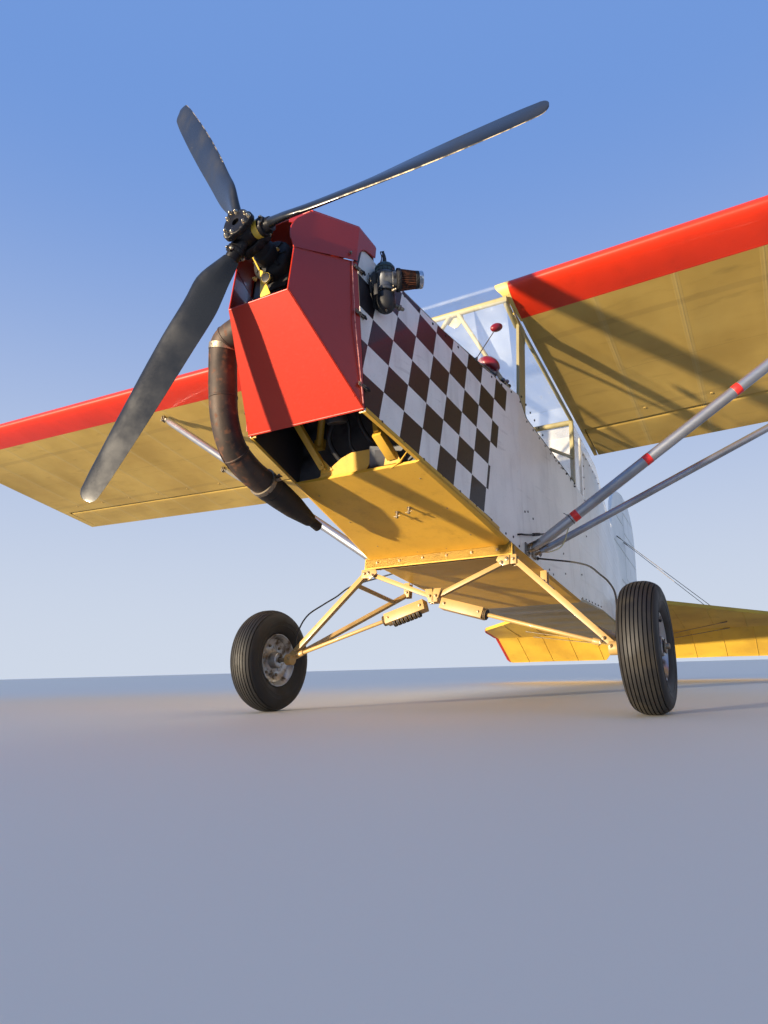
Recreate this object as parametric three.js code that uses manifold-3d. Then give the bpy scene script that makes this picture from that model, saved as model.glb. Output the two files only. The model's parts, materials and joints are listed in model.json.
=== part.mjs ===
// Single-seat high-wing light aircraft, parked on its tailwheel undercarriage.
// Millimetres, +Z up. +X is the aircraft's left, and the nose points towards -Y.
// The airframe is drawn in its own level frame: x lateral, y aft of the propeller disc,
// z above the thrust line. One group then sets it nose-up on the ground.
import * as THREE from 'three';
import { mergeVertices } from 'three/addons/utils/BufferGeometryUtils.js';
import Module from 'manifold-3d';

const wasm = await Module();
wasm.setup();

// Driving dimensions
const GROUND_ANGLE = THREE.MathUtils.degToRad(10.96);
const MAIN_TYRE_RADIUS = 203;
const MAIN_TYRE_WIDTH = 118;
const TAIL_TYRE_RADIUS = 70;
const HALF_TRACK = 735;
const HALF_SPAN = 3970;
const WING_ROOT_X = 312;
const WING_NOSE_Y = 1135;
const WING_CHORD = 1405;
const WING_THICKNESS = 0.117;
const WING_NOSE_RISE = 0.035;
const INCIDENCE = THREE.MathUtils.degToRad(2.6);
const DIHEDRAL = THREE.MathUtils.degToRad(1.9);
const WING_LOW_Z = 554;
const LEADING_EDGE_SHARE = 0.121;
const AILERON_ROOT_X = 336;
const AILERON_TIP_X = 3900;
const AILERON_AXIS_Y = 2290;
const AILERON_GAP = 6;
const PROP_RADIUS = 820;
const AXLE = { y: 1222, z: -880 };
const GEAR_FITTING = { x: 302, frontY: 1223, rearY: 1580, z: -530 };
const STRUT_TOP = { frontX: 1862, rearX: 1958, frontY: 1354, rearY: 1980 };
const STRUT_FOOT = { x: 332, frontY: 1372, rearY: 1450, z: -462 };
const WALL = 8;
const SHEET = 3;
const FIT = 0.4;

// Cabin and fuselage stations
const COWL_REAR_Y = 338;
const FIREWALL_Y = 628;
const CABIN_FRONT_Y = 1285;
const CABIN_REAR_Y = 2150;
const STERNPOST_Y = 4790;
const CABIN_HALF_WIDTH = 305;

// Paint and metal
const ORANGE = 0xf04a1c;
const CREAM = 0xd9b066;
const FABRIC = 0xb99a55;
const WHITE = 0xc8c9cc;
const YELLOW = 0xe2ab35;
const BLACK = 0x16161a;
const STEEL = 0x3a302b;
const ALLOY = 0xa5a8ad;
const RUBBER = 0x1c1b1b;
const CLEAR = 0xb9cfe0;

const { cos, sin, tan, PI, hypot } = Math;
const v = (x, y, z) => new THREE.Vector3(x, y, z);
const lerp = THREE.MathUtils.lerp;

// Halves of the aircraft: name ending and the sign of x
const SIDES = [
  { name: 'left', sign: 1 },
  { name: 'right', sign: -1 },
];

const airframe = new THREE.Group();
const aircraft = new THREE.Group();

function finish(name, geometry, color, roughness = 0.6, metalness = 0, parent = airframe) {
  const material = new THREE.MeshStandardMaterial({ color, roughness, metalness });
  const mesh = new THREE.Mesh(geometry, material);
  mesh.name = name;
  parent.add(mesh);
  return mesh;
}

// Geometry with only merged positions, faces turned outwards
function solid(geometry) {
  const bare = geometry.clone();
  for (const key of Object.keys(bare.attributes)) {
    if (key !== 'position') bare.deleteAttribute(key);
  }
  const merged = mergeVertices(bare, 1e-3);
  const p = merged.attributes.position;
  const index = Array.from(merged.index.array);
  let volume = 0;
  for (let i = 0; i < index.length; i += 3) {
    const [a, b, c] = [0, 1, 2].map((k) => v().fromBufferAttribute(p, index[i + k]));
    volume += a.dot(b.cross(c));
  }
  if (volume < 0) {
    for (let i = 0; i < index.length; i += 3) {
      [index[i + 1], index[i + 2]] = [index[i + 2], index[i + 1]];
    }
    merged.setIndex(index);
  }
  return merged;
}

function toManifold(geometry) {
  const merged = solid(geometry);
  return new wasm.Manifold(new wasm.Mesh({
    numProp: 3,
    vertProperties: new Float32Array(merged.attributes.position.array),
    triVerts: new Uint32Array(merged.index.array),
  }));
}

function fromManifold(shape) {
  const mesh = shape.getMesh();
  const geometry = new THREE.BufferGeometry();
  geometry.setAttribute('position', new THREE.BufferAttribute(mesh.vertProperties, 3));
  geometry.setIndex(new THREE.BufferAttribute(mesh.triVerts, 1));
  return geometry;
}

const join = (...geometries) => fromManifold(
  geometries.map(toManifold).reduce((sum, next) => sum.add(next)),
);

const cut = (body, ...tools) => fromManifold(
  tools.map(toManifold).reduce((rest, tool) => rest.subtract(tool), toManifold(body)),
);

// Faces that fill a closed ring of points, listed along the ring's own direction
function ringFaces(ring) {
  const normal = v();
  ring.forEach((p, i) => normal.add(v().crossVectors(p, ring[(i + 1) % ring.length])));
  const size = [normal.x, normal.y, normal.z].map(Math.abs);
  const drop = size.indexOf(Math.max(...size));
  const flat = ring.map((p) => new THREE.Vector2(
    drop === 0 ? p.y : p.x,
    drop === 2 ? p.y : p.z,
  ));
  const forward = THREE.ShapeUtils.area(flat) > 0;
  const contour = forward ? flat : flat.slice().reverse();
  return THREE.ShapeUtils.triangulateShape(contour, []).map(
    (tri) => (forward ? tri : tri.map((k) => ring.length - 1 - k).reverse()),
  );
}

// Skin through rings of equal point count, closed by flat ends
function loft(rings) {
  const count = rings[0].length;
  const last = (rings.length - 1) * count;
  const faces = [];
  for (let r = 0; r + 1 < rings.length; r += 1) {
    for (let i = 0; i < count; i += 1) {
      const a = r * count + i;
      const b = r * count + ((i + 1) % count);
      faces.push(a, b, b + count, a, b + count, a + count);
    }
  }
  for (const tri of ringFaces(rings[0])) faces.push(...tri.slice().reverse());
  for (const tri of ringFaces(rings.at(-1))) faces.push(...tri.map((k) => last + k));
  const geometry = new THREE.BufferGeometry();
  geometry.setAttribute('position', new THREE.Float32BufferAttribute(
    rings.flat().flatMap((p) => [p.x, p.y, p.z]), 3));
  geometry.setIndex(faces);
  return solid(geometry);
}

// Round bar between two points
function bar(from, to, radius, sides = 10, endRadius = radius) {
  const length = from.distanceTo(to);
  const geometry = new THREE.CylinderGeometry(endRadius, radius, length, sides);
  const turn = new THREE.Quaternion().setFromUnitVectors(
    v(0, 1, 0), to.clone().sub(from).normalize());
  geometry.applyQuaternion(turn);
  const middle = from.clone().add(to).multiplyScalar(0.5);
  return geometry.translate(middle.x, middle.y, middle.z);
}

function box(x0, x1, y0, y1, z0, z1) {
  return new THREE.BoxGeometry(x1 - x0, y1 - y0, z1 - z0)
    .translate((x0 + x1) / 2, (y0 + y1) / 2, (z0 + z1) / 2);
}

// Plate whose outline is given as [y, z] and which runs from x0 to x1
function sidePlate(outline, x0, x1) {
  return loft([x0, x1].map((x) => outline.map(([y, z]) => v(x, y, z))));
}

// Round tube along a smooth curve through points
function tubeAlong(points, radius, sides, steps) {
  const shape = new THREE.Shape(Array.from({ length: sides }, (_, i) => {
    const angle = (2 * PI * i) / sides;
    return new THREE.Vector2(radius * cos(angle), radius * sin(angle));
  }));
  return new THREE.ExtrudeGeometry(shape, {
    extrudePath: new THREE.CatmullRomCurve3(points), steps, bevelEnabled: false,
  });
}

// Nose: the half width of the flat-sided body at a station, from cowl lip to cabin
const NOSE = { lipX: 100, lipY: 80, cowlX: 200, bottomZ: -400, lipLowZ: -158, lipTopZ: -20,
  hingeY: 248, hingeTopZ: 32 };
const sideSlope = (CABIN_HALF_WIDTH - NOSE.cowlX) / (CABIN_FRONT_Y - COWL_REAR_Y);
const halfWidth = (y) => Math.min(CABIN_HALF_WIDTH, NOSE.cowlX + (y - COWL_REAR_Y) * sideSlope);

// Lower edge, deck edge and sill of the fuselage side, by station
const SIDE_STATIONS = [
  { y: 345, low: -402, top: 92 },
  { y: FIREWALL_Y, low: -428, top: 98 },
  { y: 1000, low: -460, top: 122 },
  { y: CABIN_FRONT_Y, low: -493, top: 165 },
  { y: 1375, low: -489.4, top: 106 },
  { y: CABIN_REAR_Y, low: -458, top: 132 },
];

// Sheet bent along a path of corner points, outer and inner side folded along the same lines
function bentSheet(rings) {
  const count = rings[0].outer.length;
  const points = rings.flatMap(({ outer, inner }) => [...outer, ...inner]);
  const at = (row, i, inward) => (2 * row + inward) * count + i;
  const faces = [];
  const quad = (a, b, c, d) => faces.push(a, b, c, a, c, d);
  const last = rings.length - 1;
  for (let r = 0; r < last; r += 1) {
    for (let i = 0; i + 1 < count; i += 1) {
      quad(at(r, i, 0), at(r, i + 1, 0), at(r + 1, i + 1, 0), at(r + 1, i, 0));
      const [a, b, c, d] = [at(r, i, 1), at(r, i + 1, 1), at(r + 1, i + 1, 1), at(r + 1, i, 1)];
      faces.push(a, c, b, a, d, c);
    }
    quad(at(r, 0, 0), at(r + 1, 0, 0), at(r + 1, 0, 1), at(r, 0, 1));
    const end = count - 1;
    quad(at(r, end, 0), at(r, end, 1), at(r + 1, end, 1), at(r + 1, end, 0));
  }
  for (let i = 0; i + 1 < count; i += 1) {
    quad(at(0, i + 1, 0), at(0, i, 0), at(0, i, 1), at(0, i + 1, 1));
    quad(at(last, i, 0), at(last, i + 1, 0), at(last, i + 1, 1), at(last, i, 1));
  }
  const geometry = new THREE.BufferGeometry();
  geometry.setAttribute('position', new THREE.Float32BufferAttribute(
    points.flatMap((p) => [p.x, p.y, p.z]), 3));
  geometry.setIndex(faces);
  return solid(geometry);
}

// Lower cowl: a sloping front face folded into two flared sides
const EXHAUST_PORT = { y: 212, z: -100 };
{
  const path = (inset) => [
    [NOSE.lipX - inset, NOSE.lipY + inset, NOSE.lipTopZ],
    [NOSE.lipX - inset, NOSE.lipY + inset, NOSE.lipLowZ + inset * 0.4],
    [-NOSE.lipX + inset, NOSE.lipY + inset, NOSE.lipLowZ + inset * 0.4],
    [-NOSE.lipX + inset, NOSE.lipY + inset, NOSE.lipTopZ],
  ].map((p) => v(...p));
  const rear = (inset) => {
    const topX = halfWidth(NOSE.hingeY) - inset;
    return [
      [topX, NOSE.hingeY, NOSE.hingeTopZ],
      [NOSE.cowlX - inset, COWL_REAR_Y, NOSE.bottomZ + inset * 0.7],
      [-NOSE.cowlX + inset, COWL_REAR_Y, NOSE.bottomZ + inset * 0.7],
      [-topX, NOSE.hingeY, NOSE.hingeTopZ],
    ].map((p) => v(...p));
  };
  const body = bentSheet([
    { outer: path(0), inner: path(SHEET) },
    { outer: rear(0), inner: rear(SHEET) },
  ]);
  const exhaustHole = bar(v(-110, EXHAUST_PORT.y, EXHAUST_PORT.z),
    v(-230, EXHAUST_PORT.y + 3, EXHAUST_PORT.z - 6), 50, 16);
  finish('lower_cowl', cut(body, exhaustHole), ORANGE, 0.3);
}

// Upper cowl: an open-fronted box lid over the engine, its flared sides carried back over the
// side panels, where a rounded notch shows them
const UPPER_COWL = {
  bevel: 10,
  stations: [
    { y: 56, x: 88, top: 126 }, { y: 113, x: 119, top: 136 },
    { y: 238, x: 192.4, top: 157 }, { y: 322, x: 201.8, top: 147 },
  ],
  outline: [
    [78, NOSE.lipTopZ + 2], [67, 12], [65, 45], [76, 80], [113, 130], [113, 190], [319, 190],
    [317, 99], [270, 95], [253, 84], [244, 60], [243, NOSE.hingeTopZ + 1],
  ],
};
{
  const shell = (inset) => loft(UPPER_COWL.stations.map(({ y, x, top }, i) => {
    const station = y + (i === 0 ? -inset : inset) * (i % 3 === 0 ? 1 : 0);
    const [wide, high, low] = [x - inset, top - inset, -60 - inset];
    const narrow = wide - UPPER_COWL.bevel;
    const edge = high - UPPER_COWL.bevel;
    return [[wide, low], [wide, edge], [narrow, high], [-narrow, high], [-wide, edge], [-wide, low]]
      .map(([a, c]) => v(a, station, c));
  }));
  const lid = toManifold(shell(0)).subtract(toManifold(shell(SHEET)));
  const kept = toManifold(sidePlate(UPPER_COWL.outline, -260, 260));
  finish('upper_cowl', fromManifold(lid.intersect(kept)), ORANGE, 0.3);
}

// Engine and what hangs on it
const ENGINE = { halfWidth: 112, frontY: 178, rearY: 505, lowZ: -225, topZ: 112 };
finish('engine_block', box(-ENGINE.halfWidth, ENGINE.halfWidth, ENGINE.frontY, ENGINE.rearY,
  ENGINE.lowZ, ENGINE.topZ), BLACK, 0.5, 0.6);
{
  const housing = sidePlate([[96, 52], [172, 70], [ENGINE.frontY - FIT, 70],
    [ENGINE.frontY - FIT, -150], [120, -150], [96, -120]], -62, 62);
  const shaft = bar(v(0, 97, 0), v(0, 46, 0), 30, 16);
  finish('reduction_drive', join(housing, shaft), BLACK, 0.45, 0.5);
}
{
  const end = FIREWALL_Y - 12;
  const start = ENGINE.rearY + 16;
  const tubes = [1, -1].flatMap((s) => [
    bar(v(s * 80, start, -170), v(s * 150, end, -300), 12, 8),
    bar(v(s * 80, start, 90), v(s * 150, end, 40), 12, 8),
    box(s * 150 - 18, s * 150 + 18, end - 6, FIREWALL_Y - FIT, -318, -282),
    box(s * 150 - 18, s * 150 + 18, end - 6, FIREWALL_Y - FIT, 22, 58),
  ]);
  const plate = box(-100, 100, ENGINE.rearY + FIT, ENGINE.rearY + 20, -190, 110);
  // Square struts seen in the air outlet, each carried up to the plate
  const outletStruts = [
    { foot: v(-110, 600, -402), knee: v(-158, 500, -282), top: v(-92, 530, -184) },
    { foot: v(143, 600, -408), knee: v(141, 505, -372), top: v(92, 530, -184) },
  ].flatMap(({ foot, knee, top }) => [bar(foot, knee, 15, 4), bar(knee, top, 9, 8)]);
  finish('engine_mount', join(plate, ...tubes, ...outletStruts), CREAM, 0.5, 0.2);
}

// Exhaust on the aircraft's right: down, round an elbow and aft into a cone
const EXHAUST = { radius: 42, x: -262 };
{
  const x = EXHAUST.x;
  const route = [
    v(-121, EXHAUST_PORT.y, EXHAUST_PORT.z), v(-180, 215, -103), v(x + 12, 226, -124),
    v(x, 243, -182), v(x, 262, -266), v(x, 288, -352), v(x, 340, -424), v(x + 4, 415, -462),
    v(x + 8, 486, -476),
  ];
  finish('exhaust_pipe', tubeAlong(route, EXHAUST.radius, 12, 30), STEEL, 0.55, 0.7);
  finish('silencer_cone', join(
    bar(v(x + 8.5, 494, -477.5), v(x + 8.5, 530, -482), EXHAUST.radius + 7, 16),
    bar(v(x + 8.5, 524, -481), v(x + 10.5, 650, -496.5), EXHAUST.radius + 3, 16, 38),
    bar(v(x + 10.5, 649, -496.4), v(x + 12, 744, -508), 38, 16, 24),
    bar(v(x + 12, 736, -507), v(x + 13, 792, -514), 17, 12),
  ), BLACK, 0.6, 0.5);
}

// Carburettor and its cone filter stand out of a round hole in the left side panel
const INTAKE = { y: 352, z: -8, hole: 38, x: 233 };
{
  const neck = bar(v(ENGINE.halfWidth + FIT, INTAKE.y, INTAKE.z),
    v(INTAKE.x - 8, INTAKE.y, INTAKE.z), 26, 12);
  const chamber = bar(v(INTAKE.x, 347, -64), v(INTAKE.x, 330, 52), 27, 12);
  const cap = bar(v(INTAKE.x, 331, 48), v(INTAKE.x, 326, 80), 23, 12);
  const bell = bar(v(INTAKE.x + 2, 326.4, 15.6), v(264, 347, 21.6), 24, 12);
  finish('carburettor', join(neck, chamber, cap, bell), ALLOY, 0.4, 0.7);
  finish('air_filter', join(
    bar(v(264.6, 347.4, 21.7), v(319, 386, 33), 33, 16, 25),
    bar(v(318, 385.4, 32.8), v(327, 391.8, 35), 26, 16),
  ), BLACK, 0.8);
}

// Fuselage sides: one sheet each from the cowl to the rear of the cabin. The front end is cut
// along the cowl's hinge line and rises inside the upper cowl.
for (const side of SIDES) {
  const s = side.sign;
  const ring = ({ y, low, top }) => {
    const x = halfWidth(y);
    return [v(s * x, y, low), v(s * x, y, top), v(s * (x - WALL), y, top), v(s * (x - WALL), y, low)];
  };
  const noseStations = [
    { y: NOSE.hingeY - 7, low: -402, top: 112 }, { y: 316, low: -402, top: 112 },
    { y: 320, low: -402, top: 92 },
  ];
  const underCowl = sidePlate([
    [NOSE.hingeY - 40, -470], [COWL_REAR_Y + 5, -470], [COWL_REAR_Y + 4, -398],
    [NOSE.hingeY + 3, NOSE.hingeTopZ + 1.5], [NOSE.hingeY - 40, NOSE.hingeTopZ + 1.5],
  ], -260, 260);
  const holes = s > 0
    ? [bar(v(150, INTAKE.y, INTAKE.z), v(260, INTAKE.y, INTAKE.z), INTAKE.hole, 20)] : [];
  finish(`side_panel_${side.name}`,
    cut(loft([...noseStations, ...SIDE_STATIONS].map(ring)), underCowl, ...holes), WHITE, 0.35, 0.1);
}

// Firewall, belly, fore deck and instrument panel close the nose between the sides
const inside = (y) => halfWidth(y) - WALL - FIT;
const bellyFrontY = 612;
const stationLow = (y) => {
  const after = SIDE_STATIONS.findIndex((row) => row.y >= y);
  const [a, b] = [SIDE_STATIONS[Math.max(after - 1, 0)], SIDE_STATIONS[Math.max(after, 1)]];
  return lerp(a.low, b.low, (y - a.y) / (b.y - a.y));
};
const stationTop = (y) => {
  const after = SIDE_STATIONS.findIndex((row) => row.y >= y);
  const [a, b] = [SIDE_STATIONS[Math.max(after - 1, 0)], SIDE_STATIONS[Math.max(after, 1)]];
  return lerp(a.top, b.top, (y - a.y) / (b.y - a.y));
};
{
  const w = inside(FIREWALL_Y);
  finish('firewall', box(-w, w, FIREWALL_Y, FIREWALL_Y + 6, stationLow(FIREWALL_Y) + 4,
    stationTop(FIREWALL_Y) - 4), ALLOY, 0.4, 0.7);
}
const BELLY_DROP = 16;
function bellyPanel(name, y0, y1, drop0, drop1) {
  const ring = (y) => {
    const drop = lerp(drop0, drop1, (y - y0) / (y1 - y0));
    const w = halfWidth(y) + 1;
    const z = stationLow(y) - FIT;
    return [v(-w, y, z), v(w, y, z), v(w - 14, y, z - drop), v(-w + 14, y, z - drop)];
  };
  const between = SIDE_STATIONS.map((row) => row.y).filter((y) => y > y0 && y < y1);
  finish(name, loft([y0, ...between, y1].map(ring)), CREAM, 0.5);
}
bellyPanel('belly_front', bellyFrontY, GEAR_FITTING.frontY - 20, 8, BELLY_DROP);
bellyPanel('belly_rear', GEAR_FITTING.frontY + 17, CABIN_REAR_Y, 6, 6);

// Deck: rounded sheet from the firewall bay back to the glare shield
const DECK = { crownFront: 52, crownRear: 130, y0: 350, y1: 1118, points: 9 };
const deckRing = (y, inset) => {
  const share = (y - DECK.y0) / (DECK.y1 - DECK.y0);
  const crown = lerp(DECK.crownFront, DECK.crownRear, share) - inset;
  const w = halfWidth(y) - inset;
  const radius = (w ** 2 + crown ** 2) / (2 * crown);
  const centreZ = stationTop(y) + 1.5 + crown - radius;
  return Array.from({ length: DECK.points }, (_, i) => {
    const x = w * cos((PI * i) / (DECK.points - 1));
    return v(x, y, centreZ + Math.sqrt(radius ** 2 - x ** 2));
  });
};
finish('fore_deck', bentSheet([DECK.y0, 720, DECK.y1].map((y) => (
  { outer: deckRing(y, 0), inner: deckRing(y, SHEET) }))), WHITE, 0.4);
{
  const y = DECK.y1 + FIT;
  const face = deckRing(DECK.y1, 12).map((p) => v(p.x * 0.96, y, p.z));
  const back = face.map((p) => v(p.x, y + 14, p.z));
  const low = (ring) => [...ring, v(-200, ring[0].y, -40), v(200, ring[0].y, -40)];
  finish('instrument_panel', loft([low(face), low(back)]), BLACK, 0.7);
}

// Wing section: a flat-bottomed aerofoil, u from nose to trailing edge
const halfThickness = (u) => 5 * WING_THICKNESS
  * (0.2969 * Math.sqrt(u) - 0.126 * u - 0.3516 * u ** 2 + 0.2843 * u ** 3 - 0.1015 * u ** 4);
const lowerRise = (u) => (u < 0.3 ? WING_NOSE_RISE * (1 - Math.sqrt(u / 0.3)) ** 2 : 0);
const sectionPoint = (u, upper) => {
  const rise = lowerRise(u) + (upper ? 2 * halfThickness(u) : 0);
  return { y: u * WING_CHORD, z: Math.max(rise, upper ? 0.0022 : 0) * WING_CHORD };
};
const wingLow = (x, y) => WING_LOW_Z + (Math.abs(x) - WING_ROOT_X) * tan(DIHEDRAL)
  - (y - WING_NOSE_Y + 55) * tan(INCIDENCE);
// A point of the section carried to its place on the wing
const onWing = (x, { y, z }) => v(x, WING_NOSE_Y + y, wingLow(x, WING_NOSE_Y + y) + z);
const sectionRing = (x, upperShares, lowerShares) => [
  ...upperShares.map((u) => onWing(x, sectionPoint(u, true))),
  ...lowerShares.map((u) => onWing(x, sectionPoint(u, false))),
];

const mainRearShare = (AILERON_AXIS_Y - 33 - AILERON_GAP - WING_NOSE_Y) / WING_CHORD;
const joinShare = LEADING_EDGE_SHARE + 0.4 / WING_CHORD;
const MAIN_UPPER = [joinShare, 0.2, 0.32, 0.46, 0.6, 0.72, mainRearShare];
const MAIN_LOWER = [mainRearShare, 0.3, joinShare];
const NOSE_UPPER = [LEADING_EDGE_SHARE, 0.07, 0.035, 0.014, 0.003];
const NOSE_LOWER = [0, 0.004, 0.02, 0.06, LEADING_EDGE_SHARE];

for (const side of SIDES) {
  const s = side.sign;
  const inner = s * WING_ROOT_X;
  const outer = s * HALF_SPAN;
  finish(`leading_edge_${side.name}`,
    loft([inner, outer].map((x) => sectionRing(x, NOSE_UPPER, NOSE_LOWER))), ORANGE, 0.35);
  // Fixed trailing edge inboard and outboard of the aileron closes the wing's outline
  const panel = loft([inner, outer].map((x) => sectionRing(x, MAIN_UPPER, MAIN_LOWER)));
  const endPiece = (x0, x1) => loft([x0, x1].map((x) => sectionRing(
    x, [mainRearShare - 0.004, 0.86, 0.93, 1], [1, mainRearShare - 0.004])));
  finish(`wing_${side.name}`, join(panel,
    endPiece(inner, s * (AILERON_ROOT_X - AILERON_GAP)),
    endPiece(s * (AILERON_TIP_X + AILERON_GAP), outer)), FABRIC, 0.7);

  // Aileron with a half-round nose about its hinge axis
  const noseRadius = 31;
  const aileronRing = (x) => {
    const axisShare = (AILERON_AXIS_Y - WING_NOSE_Y) / WING_CHORD;
    const top = sectionPoint(axisShare, true);
    const axis = onWing(x, { y: top.y, z: top.z / 2 });
    const nose = Array.from({ length: 7 }, (_, i) => {
      const angle = PI / 2 + (PI * i) / 6;
      return v(x, axis.y + noseRadius * cos(angle), axis.z + noseRadius * sin(angle));
    });
    return [
      ...nose,
      onWing(x, sectionPoint(1, false)),
      onWing(x, sectionPoint(1, true)),
      onWing(x, sectionPoint(0.91, true)),
    ];
  };
  finish(`aileron_${side.name}`,
    loft([s * AILERON_ROOT_X, s * AILERON_TIP_X].map(aileronRing)), FABRIC, 0.7);

  // Lift struts: thick front tube and thinner rear tube, bolted to the lower longeron
  const strut = (name, { topX, y, rootY, footZ, radius, sides }) => {
    const topZ = wingLow(topX, y);
    const foot = v(s * STRUT_FOOT.x, rootY, footZ);
    const inner = s > 0 ? CABIN_HALF_WIDTH + FIT : -STRUT_FOOT.x;
    finish(name, join(
      bar(foot, v(s * (topX - 22), y, topZ - 28), radius, sides),
      bar(v(s * (topX - 40), y, topZ - 34), v(s * topX, y, topZ - 18), 9, 8),
      box(s * topX - 8, s * topX + 8, y - 14, y + 14, topZ - 32, topZ - 1.2),
      box(inner, inner + STRUT_FOOT.x - CABIN_HALF_WIDTH - FIT, rootY - 24, rootY + 14,
        footZ - 26, footZ + 16),
    ), ALLOY, 0.35, 0.8);
  };
  strut(`front_strut_${side.name}`, { topX: STRUT_TOP.frontX, y: STRUT_TOP.frontY,
    rootY: STRUT_FOOT.frontY, footZ: STRUT_FOOT.z, radius: 20, sides: 10 });
  strut(`rear_strut_${side.name}`, { topX: STRUT_TOP.rearX, y: STRUT_TOP.rearY,
    rootY: STRUT_FOOT.rearY, footZ: STRUT_FOOT.z + 12, radius: 14, sides: 8 });
}

// Cabin frame: windscreen tube, V braces, wide posts, rear hoop with a slanting brace each side
const SCREEN = { topY: 1168, topZ: 558, tube: 13, postFrontY: 1298, postRearY: 1374, railY: 1319 };
{
  const beam = bar(v(-300, SCREEN.topY, SCREEN.topZ), v(300, SCREEN.topY, SCREEN.topZ), SCREEN.tube, 10);
  const braces = [{ head: 78, foot: 276 }, { head: 46, foot: -276 }].map(({ head, foot }) => bar(
    v(head, SCREEN.topY, SCREEN.topZ), v(foot, 1244, 176), 9, 8));
  const posts = [1, -1].flatMap((s) => [
    sidePlate([
      [SCREEN.postFrontY, 166], [SCREEN.postRearY, 116],
      [SCREEN.postRearY, 538], [SCREEN.postFrontY, 538],
    ], s * 292, s * 304),
    bar(v(s * 287, SCREEN.topY, SCREEN.topZ), v(s * 287, SCREEN.railY, 528), 11, 8),
  ]);
  const foot = bar(v(-276, 1258, 176), v(276, 1258, 176), 10, 8);
  finish('windscreen_frame', join(beam, foot, ...braces, ...posts), CREAM, 0.5, 0.1);
}
{
  const rearY = CABIN_REAR_Y - 20;
  const hoopTop = wingLow(WING_ROOT_X, rearY) - 6;
  const posts = [1, -1].map((s) => box(
    s > 0 ? 285 : -304, s > 0 ? 304 : -285, rearY - 10, rearY + 10, 138, hoopTop));
  const braces = [1, -1].map((s) => bar(v(s * 294, 1752, 148), v(s * 294, rearY, 285), 8, 8));
  const carry = bar(v(-300, rearY, hoopTop - 12), v(300, rearY, hoopTop - 12), 14, 8);
  finish('rear_cabin_frame', join(...posts, ...braces, carry), CREAM, 0.5, 0.1);
}
// Windscreen sheet: three flats that wrap from the posts round the glare shield
{
  const ring = (rows, inset) => rows.map(([x, y, z]) => v(x, y + inset, z));
  const low = [[300, 1262, 190], [205, 1150, 232], [0, 1121, 279], [-205, 1150, 232], [-300, 1262, 190]];
  const top = [[300, 1152, 540], [160, 1148, 540], [0, 1147, 540], [-160, 1148, 540], [-300, 1152, 540]];
  finish('windscreen', bentSheet([
    { outer: ring(low, -4), inner: ring(low, -1) },
    { outer: ring(top, -4), inner: ring(top, -1) },
  ]), CLEAR, 0.08);
}
// Clear roof between the wing roots, carried on over the nose
{
  const x = WING_ROOT_X - 8;
  const rearShare = (CABIN_REAR_Y - 1 - WING_NOSE_Y) / WING_CHORD;
  const shares = [0.0, 0.004, 0.02, 0.06, 0.12, 0.22, 0.34, 0.5, rearShare];
  const place = (at, u, aft, drop) => {
    const top = onWing(WING_ROOT_X, { y: u * WING_CHORD + aft, z: sectionPoint(u, true).z - drop });
    return v(at, top.y, top.z);
  };
  const ring = (at) => [
    ...shares.map((u) => place(at, u, 0, 0)),
    ...shares.slice().reverse().map((u) => (u < 0.01 ? place(at, u, 5, 0.5) : place(at, u, 2, 4))),
  ];
  finish('roof_panel', loft([ring(-x), ring(x)]), CLEAR, 0.08);
}
for (const side of SIDES) {
  const s = side.sign;
  const x0 = CABIN_HALF_WIDTH + FIT;
  const outline = [[1810, 136], [2108, 140], [2108, 262], [1790, 148]];
  finish(`quarter_window_${side.name}`,
    sidePlate(outline, s * x0, s * (x0 + 3)), CLEAR, 0.08);
}
// Seat and stick
finish('seat', join(
  sidePlate([[1560, -300], [1960, -330], [1960, -290], [1560, -255]], -190, 190),
  sidePlate([[1925, -330], [1975, -330], [2015, 190], [1972, 190]], -190, 190),
), BLACK, 0.8);
finish('control_stick', join(
  bar(v(0, 1480, -440), v(0, 1430, -140), 11, 8),
  bar(v(0, 1432, -150), v(0, 1412, -30), 17, 8),
), BLACK, 0.5);

// Tail surfaces: hinge axes and sizes
const TAIL = { thickness: 28, rim: 12, rudderAxisY: 4886, elevatorAxisY: 4751, elevatorZ: 0,
  elevatorDroop: THREE.MathUtils.degToRad(24), noseRadius: 13 };

// Rear fuselage: closed fabric body from the cabin to the sternpost
const TAIL_STATIONS = [
  { y: CABIN_REAR_Y + FIT, half: 305, low: -458, top: 503 },
  { y: 2600, half: 303, low: -392, top: 472 },
  { y: 3600, half: 204, low: -268, top: 270 },
  { y: STERNPOST_Y, half: 26, low: -118, top: 44 },
];
{
  const ring = ({ y, half, low, top }) => {
    const deck = Math.min(half * 0.35, 60);
    return [
      v(half, y, low), v(half, y, top - deck * 0.4), v(half - deck, y, top), v(-half + deck, y, top),
      v(-half, y, top - deck * 0.4), v(-half, y, low),
    ];
  };
  const torqueHole = bar(v(-60, TAIL.elevatorAxisY, TAIL.elevatorZ),
    v(60, TAIL.elevatorAxisY, TAIL.elevatorZ), 17, 12);
  finish('rear_fuselage', cut(loft(TAIL_STATIONS.map(ring)), torqueHole), WHITE, 0.4);
}
// Solid fairing that carries the wing section across the body behind the cabin
{
  const x = WING_ROOT_X - 6;
  const front = (CABIN_REAR_Y - WING_NOSE_Y + 1) / WING_CHORD;
  const ring = (value) => [...[front, 0.76, 0.88, 1].map((u) => {
    const p = onWing(WING_ROOT_X, sectionPoint(u, true));
    return v(value, p.y, p.z);
  }), ...[1, front].map((u) => {
    const p = onWing(WING_ROOT_X, sectionPoint(u, false));
    return v(value, p.y, p.z - 0.2);
  })];
  finish('centre_fairing', loft([ring(-x), ring(x)]), WHITE, 0.4);
}

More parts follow.
